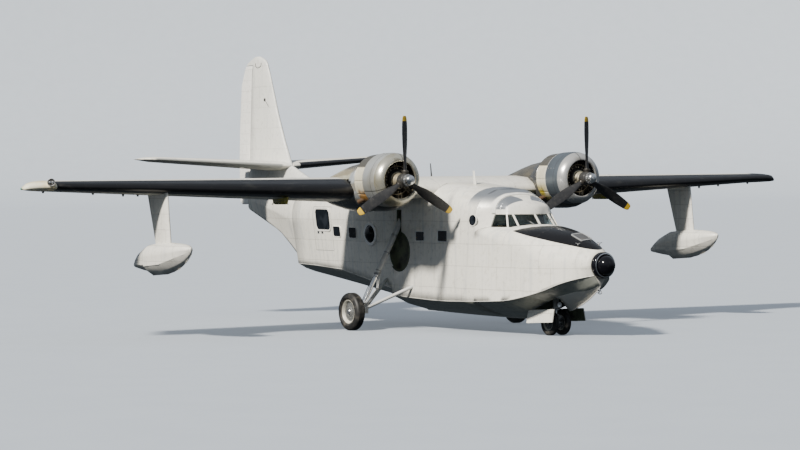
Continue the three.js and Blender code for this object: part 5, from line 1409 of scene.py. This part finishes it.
# Main gear legs.
# A long oil-and-air leg folds up the hull side, braced by a V of tubes. The chromed piston slides in the
# painted upper tube, with scissor links against twisting and a brake hose down the back.
gear_paint = painted("gear_paint", (0.55, 0.56, 0.55, 1), (0.3, 0.3, 0.29, 1), GRIME, 0.4, streaks=0.5, seam=0.0,
                     dent=0.003)
chrome = metal("chrome", (0.8, 0.8, 0.8, 1), (0.6, 0.6, 0.58, 1), 0.08)
MAIN_X, KNUCKLE_Y, AXLE_Z, TRACK_Y = 1.37, 2.42, 0.5037, 2.69
for side_name, side in SIDES:
    top = Vector((MAIN_X, 1.0 * side, 3.08))
    knuckle = Vector((MAIN_X, KNUCKLE_Y * side, AXLE_Z))
    down = (knuckle - top).normalized()

    def on_piston(at, normal):
        along = (at - top).dot(down)
        away = ((at - top) - down * along).length
        return 0.625 < along / (knuckle - top).length < 0.93 and away < 0.0575

    skin(f"main_leg_{side_name}", gear_paint, degrees=40, inner=chrome, inside=on_piston)
    skin(f"main_truss_{side_name}", gear_paint, degrees=40)
    pieces = []
    for share, wide, deep in ((0.62, 0.088, 0.05), (0.585, 0.084, 0.03), (0.22, 0.086, 0.05), (0.4, 0.083, 0.03)):
        collar = [(wide - 0.008, -deep / 2), (wide, -deep / 2 + 0.006), (wide, deep / 2 - 0.006),
                  (wide - 0.008, deep / 2)]
        pieces.append(spun(collar, 28, pointing(top.lerp(knuckle, share), down), steel))
    gland = [(0.06, 0.0), (0.074, 0.004), (0.074, 0.03), (0.06, 0.04)]
    pieces.append(spun(gland, 28, pointing(top.lerp(knuckle, 0.638), down), bright_metal))
    upper_lug = top.lerp(knuckle, 0.61) + Vector((0.1, 0, 0))
    lower_lug = top.lerp(knuckle, 0.92) + Vector((0.09, 0, 0))
    elbow = (upper_lug + lower_lug) / 2 + Vector((0.24, 0, 0))
    for first, second in ((upper_lug, elbow), (lower_lug, elbow)):
        for off in (-0.035, 0.035):
            spread = Vector((0, off, 0))
            pieces.append(coated(pipe([first + spread, second + spread * 0.4], 0.014), gear_paint))
    for at in (upper_lug, lower_lug, elbow):
        pin = [(0.016, -0.05), (0.02, -0.048), (0.02, 0.048), (0.016, 0.05)]
        pieces.append(spun(pin, 16, pointing(at, (0, 1, 0)), steel))
    for at in (upper_lug, lower_lug):
        lug = block(at + Vector((-0.09, -0.03, -0.025)), at + Vector((0.005, 0.03, 0.025)), 0.008, 2)
        pieces.append(coated(lug, gear_paint))
    hose = [top.lerp(knuckle, share) + Vector((-0.09 - bulge, 0, 0)) for share, bulge in
            ((0.1, 0), (0.3, 0.0), (0.58, 0.0), (0.7, 0.05), (0.85, 0.06), (0.96, 0.0))]
    pieces.append(coated(pipe(hose, 0.009, "AUTO"), rubber))
    outside = pointing((MAIN_X, (TRACK_Y + 0.085) * side, AXLE_Z), (0, side, 0))
    cap = [(0.05, -0.03), (0.062, -0.02), (0.062, 0.012), (0.045, 0.03), (0.02, 0.034)]
    pieces.append(spun(cap, 24, outside, steel))
    inside = pointing((MAIN_X, (TRACK_Y - 0.155) * side, AXLE_Z), (0, side, 0))
    brake = [(0.1, -0.03), (0.215, -0.03), (0.225, -0.02), (0.225, 0.02), (0.215, 0.03), (0.1, 0.03), (0.1, -0.03)]
    pieces.append(spun(brake, 48, inside, steel))
    fitted(united(pieces), f"main_leg_fittings_{side_name}")

# Main wheels.
# Big ribbed tyres on forged two-part wheels: a pale rim, a dark dished disc with lightening holes, a ring
# of through bolts and a bright hub cap.
tyre_rubber, tree, shader, place, _ = blotched(
    "tyre_rubber", (0.014, 0.014, 0.014, 1), (0.055, 0.05, 0.043, 1), 7.0, 8.0, 0.45, 0.72, 0.55, 0.3)
rough_to(tree, shader, mottle(tree, place, 60.0, 4.0), 0.4, 0.002)
wheel_grey = painted("wheel_grey", (0.12, 0.125, 0.125, 1), (0.06, 0.06, 0.055, 1), GRIME, 0.4, streaks=0.4,
                     seam=0.0, dent=0.0)
wheel_cream = painted("wheel_cream", (0.6, 0.58, 0.5, 1), (0.35, 0.33, 0.28, 1), GRIME, 0.4, streaks=0.4,
                      seam=0.0, dent=0.0)


def tyre(tread, side_wall, bead, half, rim_half, ribs):
    """A ribbed tyre turned about Z: radii of its tread, shoulder and bead, and its half widths."""
    profile = [(bead, -rim_half), (bead + 0.2 * (side_wall - bead), -half * 0.86), ((bead + side_wall) / 2, -half),
               (side_wall, -half * 0.9), (side_wall + 0.6 * (tread - side_wall), -half * 0.74),
               (tread - 0.004, -half * 0.56)]
    span = half * 0.52
    pitch = 2 * span / ribs
    for rib in range(ribs):
        low = -span + rib * pitch
        profile += [(tread - 0.001, low + 0.12 * pitch), (tread, low + 0.2 * pitch), (tread, low + 0.8 * pitch),
                    (tread - 0.001, low + 0.88 * pitch)]
        if rib < ribs - 1:
            profile += [(tread - 0.011, low + 0.92 * pitch), (tread - 0.011, low + 1.08 * pitch)]
    profile += [(radius, -along) for radius, along in reversed(profile[:6])]
    return turned(profile + profile[:1], 72)


def ring_of_holes(disc_radius, hole, count, depth):
    """Dark blind holes round a disc, each with a turned lip."""
    cup = [(hole * 0.98, 0.0), (hole * 1.12, 0.001), (hole * 1.12, depth), (hole, depth + 0.002),
           (hole * 0.96, depth - 0.004), (hole * 0.9, 0.002)]
    return [spun(cup, 20, Matrix.Translation((*place, 0)), dark_recess)
            for place in round_places(count, disc_radius, 0.5)]


def nuts_on(count, radius, profile):
    """A ring of nuts on a wheel that lies at the origin."""
    return [spun(profile, 6, Matrix.Translation((*place, 0)), steel) for place in round_places(count, radius)]


for side_name, side in SIDES:
    stand = pointing((MAIN_X, TRACK_Y * side, AXLE_Z), (0, side, 0))
    big = coated(settle(tyre(0.5045, 0.455, 0.3, 0.148, 0.098, 5), stand), tyre_rubber)
    fitted(big, f"main_tyre_tread_{side_name}", body=f"main_wheel_{side_name}",
           replaced=[f"main_tyre_{side_name}"])
    rim = turned([(0.2995, -0.098), (0.315, -0.104), (0.318, -0.112), (0.306, -0.114), (0.285, -0.1),
                  (0.262, -0.05), (0.255, 0.046), (0.285, 0.1), (0.306, 0.114), (0.318, 0.112), (0.315, 0.104),
                  (0.2995, 0.098), (0.2995, -0.098)], 64)
    disc = turned([(0.0465, -0.108), (0.105, -0.108), (0.12, -0.1), (0.135, -0.05), (0.258, -0.046), (0.258, 0.044),
                   (0.21, 0.052), (0.14, 0.058), (0.125, 0.07), (0.11, 0.08), (0.07, 0.08), (0.0465, 0.078),
                   (0.0465, -0.108)], 64)
    cap = [(0.0465, 0.079), (0.075, 0.079), (0.075, 0.1), (0.066, 0.108), (0.0465, 0.108), (0.0465, 0.079)]
    pieces = [coated(rim, wheel_cream), coated(disc, wheel_grey), *ring_of_holes(0.205, 0.021, 9, 0.054),
              *nuts_on(9, 0.17, [(0.013, 0.05), (0.013, 0.068), (0.008, 0.074)]),
              coated(turned(cap, 32), bright_metal)]
    wheel = settle(united(pieces), stand)
    fitted(wheel, f"main_wheel_hub_{side_name}", body=f"main_wheel_{side_name}",
           replaced=[f"main_wheel_{side_name}"])

# Nose gear.
# A short leg in a well under the bow carries twin wheels on one axle. The strut turns in it to steer,
# and the side doors hang open, with green primer inside.
NOSE_X, NOSE_AXLE_Z, NOSE_TWIN_Y = 6.9, 0.3259, 0.19
ELBOW_X, ELBOW_Z = NOSE_X + 0.19, 0.47
skin("nose_leg", gear_paint, degrees=40)
skin("nose_strut", chrome, body="nose_strut", degrees=40, inner=gear_paint,
     inside=lambda at, normal: at.z < 0.4)
pieces = []
for z, wide in ((0.66, 0.09), (1.0, 0.088), (1.2, 0.088)):
    collar = [(wide - 0.01, -0.022), (wide, -0.014), (wide, 0.014), (wide - 0.01, 0.022)]
    pieces.append(spun(collar, 28, Matrix.Translation((NOSE_X, 0, z)), steel))
hose = [(NOSE_X + 0.1, 0.05, 1.3), (NOSE_X + 0.1, 0.05, 0.9), (NOSE_X + 0.1, 0.03, 0.68)]
pieces.append(coated(pipe(hose, 0.008, "AUTO"), rubber))
lamp_shell = [(0.03, -0.05), (0.05, -0.035), (0.062, -0.01), (0.066, 0.02), (0.066, 0.03), (0.058, 0.03),
              (0.056, 0.018), (0.004, 0.012)]
pieces.append(spun(lamp_shell, 28, pointing((NOSE_X + 0.13, 0, 0.78), (1, 0, 0)), bright_metal))
fitted(united(pieces), "nose_leg_fittings")
links = []
for from_x, from_z, to_x, to_z in ((NOSE_X + 0.05, 0.55, ELBOW_X, ELBOW_Z), (ELBOW_X, ELBOW_Z, NOSE_X + 0.06, 0.38)):
    for off in (-0.025, 0.025):
        links.append(coated(pipe([(from_x, off, from_z), (to_x, off * 0.6, to_z)], 0.011), gear_paint))
links.append(spun([(0.014, -0.032), (0.014, 0.032)], 14, pointing((ELBOW_X, 0, ELBOW_Z), (0, 1, 0)), steel))
fitted(united(links), "nose_scissor_links", body="nose_strut")
for side_name, side in SIDES:
    stand = pointing((NOSE_X, NOSE_TWIN_Y * side, NOSE_AXLE_Z), (0, side, 0))
    small = coated(settle(tyre(0.3266, 0.29, 0.19, 0.082, 0.058, 3), stand), tyre_rubber)
    fitted(small, f"nose_tyre_tread_{side_name}", body="nose_wheels",
           replaced=[f"nose_tyre_{side_name}"])
    rim = turned([(0.1895, -0.058), (0.199, -0.062), (0.2, -0.067), (0.19, -0.068), (0.17, -0.05), (0.16, -0.03),
                  (0.16, 0.03), (0.17, 0.05), (0.19, 0.068), (0.2, 0.067), (0.199, 0.062), (0.1895, 0.058),
                  (0.1895, -0.058)], 56)
    disc = turned([(0.0287, -0.06), (0.058, -0.06), (0.072, -0.032), (0.163, -0.028), (0.163, 0.028), (0.13, 0.036),
                   (0.072, 0.036), (0.058, 0.06), (0.0287, 0.06), (0.0287, -0.06)], 56)
    pieces = [coated(rim, wheel_cream), coated(disc, wheel_grey),
              *nuts_on(6, 0.1, [(0.009, 0.032), (0.009, 0.044), (0.005, 0.048)])]
    fitted(settle(united(pieces), stand), f"nose_wheel_hub_{side_name}", body="nose_wheels",
           replaced=[f"nose_wheel_{side_name}"])
    skin(f"nose_door_{side_name}", hull_white, degrees=30, inner=primer,
         inside=lambda at, normal: normal.y * side < -0.5)

# Stores pylons.
# Olive-painted pylons are bolted under the outer wings, with padded sway braces beside the flat foot.
pylon_olive = painted("pylon_olive", (0.34, 0.31, 0.04, 1), (0.2, 0.18, 0.04, 1), GRIME, streaks=0.5,
                      frame_pitch=0.4, stringer_pitch=0.5, dent=0.003)
PYLON_Y = 5.21
for side_name, side in SIDES:
    skin(f"stores_pylon_{side_name}", pylon_olive, degrees=40)
    pieces = []
    y = PYLON_Y * side
    for x in (1.79, 2.09):
        for out in (-1, 1):
            arm = [(x, y + 0.07 * out, 3.46), (x, y + 0.13 * out, 3.425), (x, y + 0.14 * out, 3.412)]
            pieces.append(coated(pipe(arm, 0.012, "AUTO"), steel))
            pad = [(0.02, -0.006), (0.024, 0.0), (0.024, 0.008), (0.015, 0.012)]
            pieces.append(spun(pad, 16, Matrix.Translation((x, y + 0.14 * out, 3.405)), steel))
    fitted(united(pieces), f"pylon_sway_braces_{side_name}")

# Aerials.
# A white blade aerial stands on the cabin roof and a dark tapered mast on the wing.
skin("aerial_blade", frame_white, degrees=62)
mast_black = painted("mast_black", (0.025, 0.025, 0.026, 1), (0.07, 0.07, 0.07, 1), GRIME, 0.45, streaks=0.3,
                     seam=0.0, dent=0.0)
skin("aerial_mast", mast_black, degrees=50)

# Lamps.
# Red and green glass marks the wing tips, a twin landing lamp stands in a pod on the starboard leading
# edge, and a beacon under an amber glass dome stands on the hull's back.
def lamp_glass(name, colour, streak_colour, dirt_colour, rough=0.08):
    """Coloured glass, smooth and without seams."""
    return painted(name, colour, streak_colour, dirt_colour, rough, streaks=0.2, seam=0.0, dent=0.0)


red_glass = lamp_glass("red_glass", (0.35, 0.012, 0.008, 1), (0.2, 0.01, 0.01, 1), (0.1, 0.01, 0.01, 1))
green_glass = lamp_glass("green_glass", (0.01, 0.22, 0.09, 1), (0.01, 0.12, 0.05, 1), (0.01, 0.06, 0.03, 1))
amber_glass = lamp_glass("amber_glass", (0.75, 0.36, 0.1, 1), (0.6, 0.3, 0.1, 1), (0.4, 0.2, 0.08, 1), 0.1)
lamp_silver = metal("lamp_silver", (0.9, 0.9, 0.88, 1), (0.7, 0.7, 0.68, 1), 0.1)
pod_cream = painted("pod_cream", (0.78, 0.74, 0.56, 1), RAIN_GREY, GRIME, streaks=0.3, seam=0.0, dent=0.002)


def glass_dome(place, way, radius, tall, glass):
    """A glass dome in a metal rim."""
    rim = [(radius * 1.05, -0.015), (radius * 1.22, 0.002), (radius * 1.22, 0.008), (radius * 1.05, 0.012)]
    dome = [(radius, -0.01), (radius, 0.25 * tall), (radius * 0.93, 0.55 * tall), (radius * 0.75, 0.8 * tall),
            (radius * 0.45, 0.95 * tall), (radius * 0.08, tall)]
    stand = pointing(place, way)
    return [spun(rim, 28, stand, frame_metal), spun(dome, 28, stand, glass)]


for side_name, side in SIDES:
    place, _ = touch(f"wing_outer_{side_name}", (1.1, 14 * side, 3.885), (0, -side, 0))
    lamp_parts = glass_dome(place, (0.35, side, 0), 0.026, 0.05, red_glass if side > 0 else green_glass)
    fitted(united(lamp_parts), f"tip_lamp_{side_name}")

LAMP = Vector((1.57, -11.585, 4.04))
LAMP_WAY = Vector((0.85, -0.5, 0.03)).normalized()
LAMP_ACROSS = Vector((0.5, 0.85, 0))
pod = turned([(0.01, -0.5), (0.045, -0.4), (0.075, -0.25), (0.093, -0.08), (0.096, 0.0), (0.1, 0.012), (0.1, 0.02),
              (0.092, 0.026), (0.084, 0.02), (0.08, 0.004), (0.01, 0.003)], 48)
settle(pod, pointing(LAMP, LAMP_WAY))
coated(pod, pod_cream, steel, dark_recess)
for face in pod.data.polygons:
    off = face.center - LAMP
    ahead = off.dot(LAMP_WAY)
    face.material_index = 0 if ahead < 0.002 else 2 if (off - LAMP_WAY * ahead).length < 0.08 else 1
bulbs = []
for off in (-0.037, 0.037):
    bulb = [(0.034, -0.006), (0.034, 0.008), (0.026, 0.016), (0.008, 0.02)]
    bulbs.append(spun(bulb, 24, pointing(LAMP + LAMP_WAY * 0.01 + LAMP_ACROSS * off, LAMP_WAY), lamp_silver))
fitted(united([pod] + bulbs), "landing_lamp")

place, _ = touch("hull_tail", (-5.7, 0, 7), (0, 0, -1))
fitted(united(glass_dome(place, (0, 0, 1), 0.055, 0.15, amber_glass)), "beacon")

# Small fittings.
# Tie-down and hinge pegs stand under the wings, filler caps are let into their tops, and thin wicks that
# shed static trail from the ailerons and elevators.
pegs, caps = [], []
for side_name, side in SIDES:
    for y, x, deep in ((11.49, 0.9, 0.02), (10.2, 1.1, 0.02), (9.4, 1.2, 0.035), (8.98, 1.2, 0.02)):
        place, _ = touch(f"wing_outer_{side_name}", (x, y * side, 2), (0, 0, 1))
        peg = turned([(0.04, -0.01), (0.04, 0.006), (0.027, 0.012), (0.023, deep), (0.029, deep + 0.004),
                      (0.026, deep + 0.02), (0.01, deep + 0.024)], 16)
        pegs.append(settle(peg, pointing(place, (0, 0, -1))))
    for y, x in ((4.6, 1.6), (5.9, 1.4)):
        place, normal = touch(f"wing_outer_{side_name}", (x, y * side, 6), (0, 0, -1))
        rim = turned([(0.085, -0.01), (0.085, 0.002), (0.08, 0.005), (0.06, 0.005), (0.058, 0.002), (0.02, 0.002),
                      (0.018, 0.008), (0.006, 0.009)], 32)
        caps.append(settle(rim, pointing(place, normal)))
fitted(coated(united(pegs), mast_black), "wing_pegs")
fitted(coated(united(caps), frame_metal), "filler_caps")

WICK_STEP = 0.9
WICK_LINE = [Vector((0.02, 0, 0)), Vector((-0.06, 0, 0)), Vector((-0.14, 0, -0.004))]
# Columns: the moving surface, its first wick's y, and its height at the middle of the aircraft and rise outward.
for surface, first_y, middle_z, rise in (
        ("aileron", 8.3, WING_MIDDLE_Z - WING_ROOT_Y * WING_DIHEDRAL, WING_DIHEDRAL),
        ("elevator", 1.6, 4.45, TAIL_DIHEDRAL)):
    for side_name, side in SIDES:
        body = f"{surface}_{side_name}"
        wicks = []
        for count in range(3):
            y = first_y + WICK_STEP * count
            place, _ = touch(body, (-14, y * side, middle_z + rise * y), (1, 0, 0))
            wicks.append(coated(pipe([place + off for off in WICK_LINE], 0.0035, "AUTO"), mast_black))
        fitted(united(wicks), f"wicks_{body}", body=body)

# Fin fittings.
# A small turned base with a short wire aerial stands on the fin's starboard side, and a hoop aerial of thin
# rod is fixed round its tip.
def on_fin(x, z, lift=0.004):
    """The place on the fin's starboard side, lifted clear of it."""
    place, normal = touch("fin", (x, -2, z), (0, 1, 0))
    return place + normal * lift


half_turns = [math.radians(180 + 22.5 * count) for count in range(9)]
hoop_line = [on_fin(-7.93 + 0.17 * math.cos(turn), 7.5 + 0.1 * math.sin(turn)) for turn in half_turns]
hoop_line = [on_fin(-8.1, 7.54)] + hoop_line + [on_fin(-7.76, 7.54)]
fitted(coated(pipe(hoop_line, 0.009, "AUTO"), mast_black), "fin_hoop_aerial")
base = turned([(0.05, -0.01), (0.05, 0.008), (0.035, 0.02), (0.012, 0.024)], 24)
settle(base, pointing(on_fin(-7.52, 6.43, 0.0), (0, -1, 0)))
wire = pipe([on_fin(-7.52, 6.43, 0.015), on_fin(-7.42, 6.34, 0.008), on_fin(-7.3, 6.22, 0.006)], 0.006, "AUTO")
fitted(coated(united([base, wire]), mast_black), "fin_aerial")
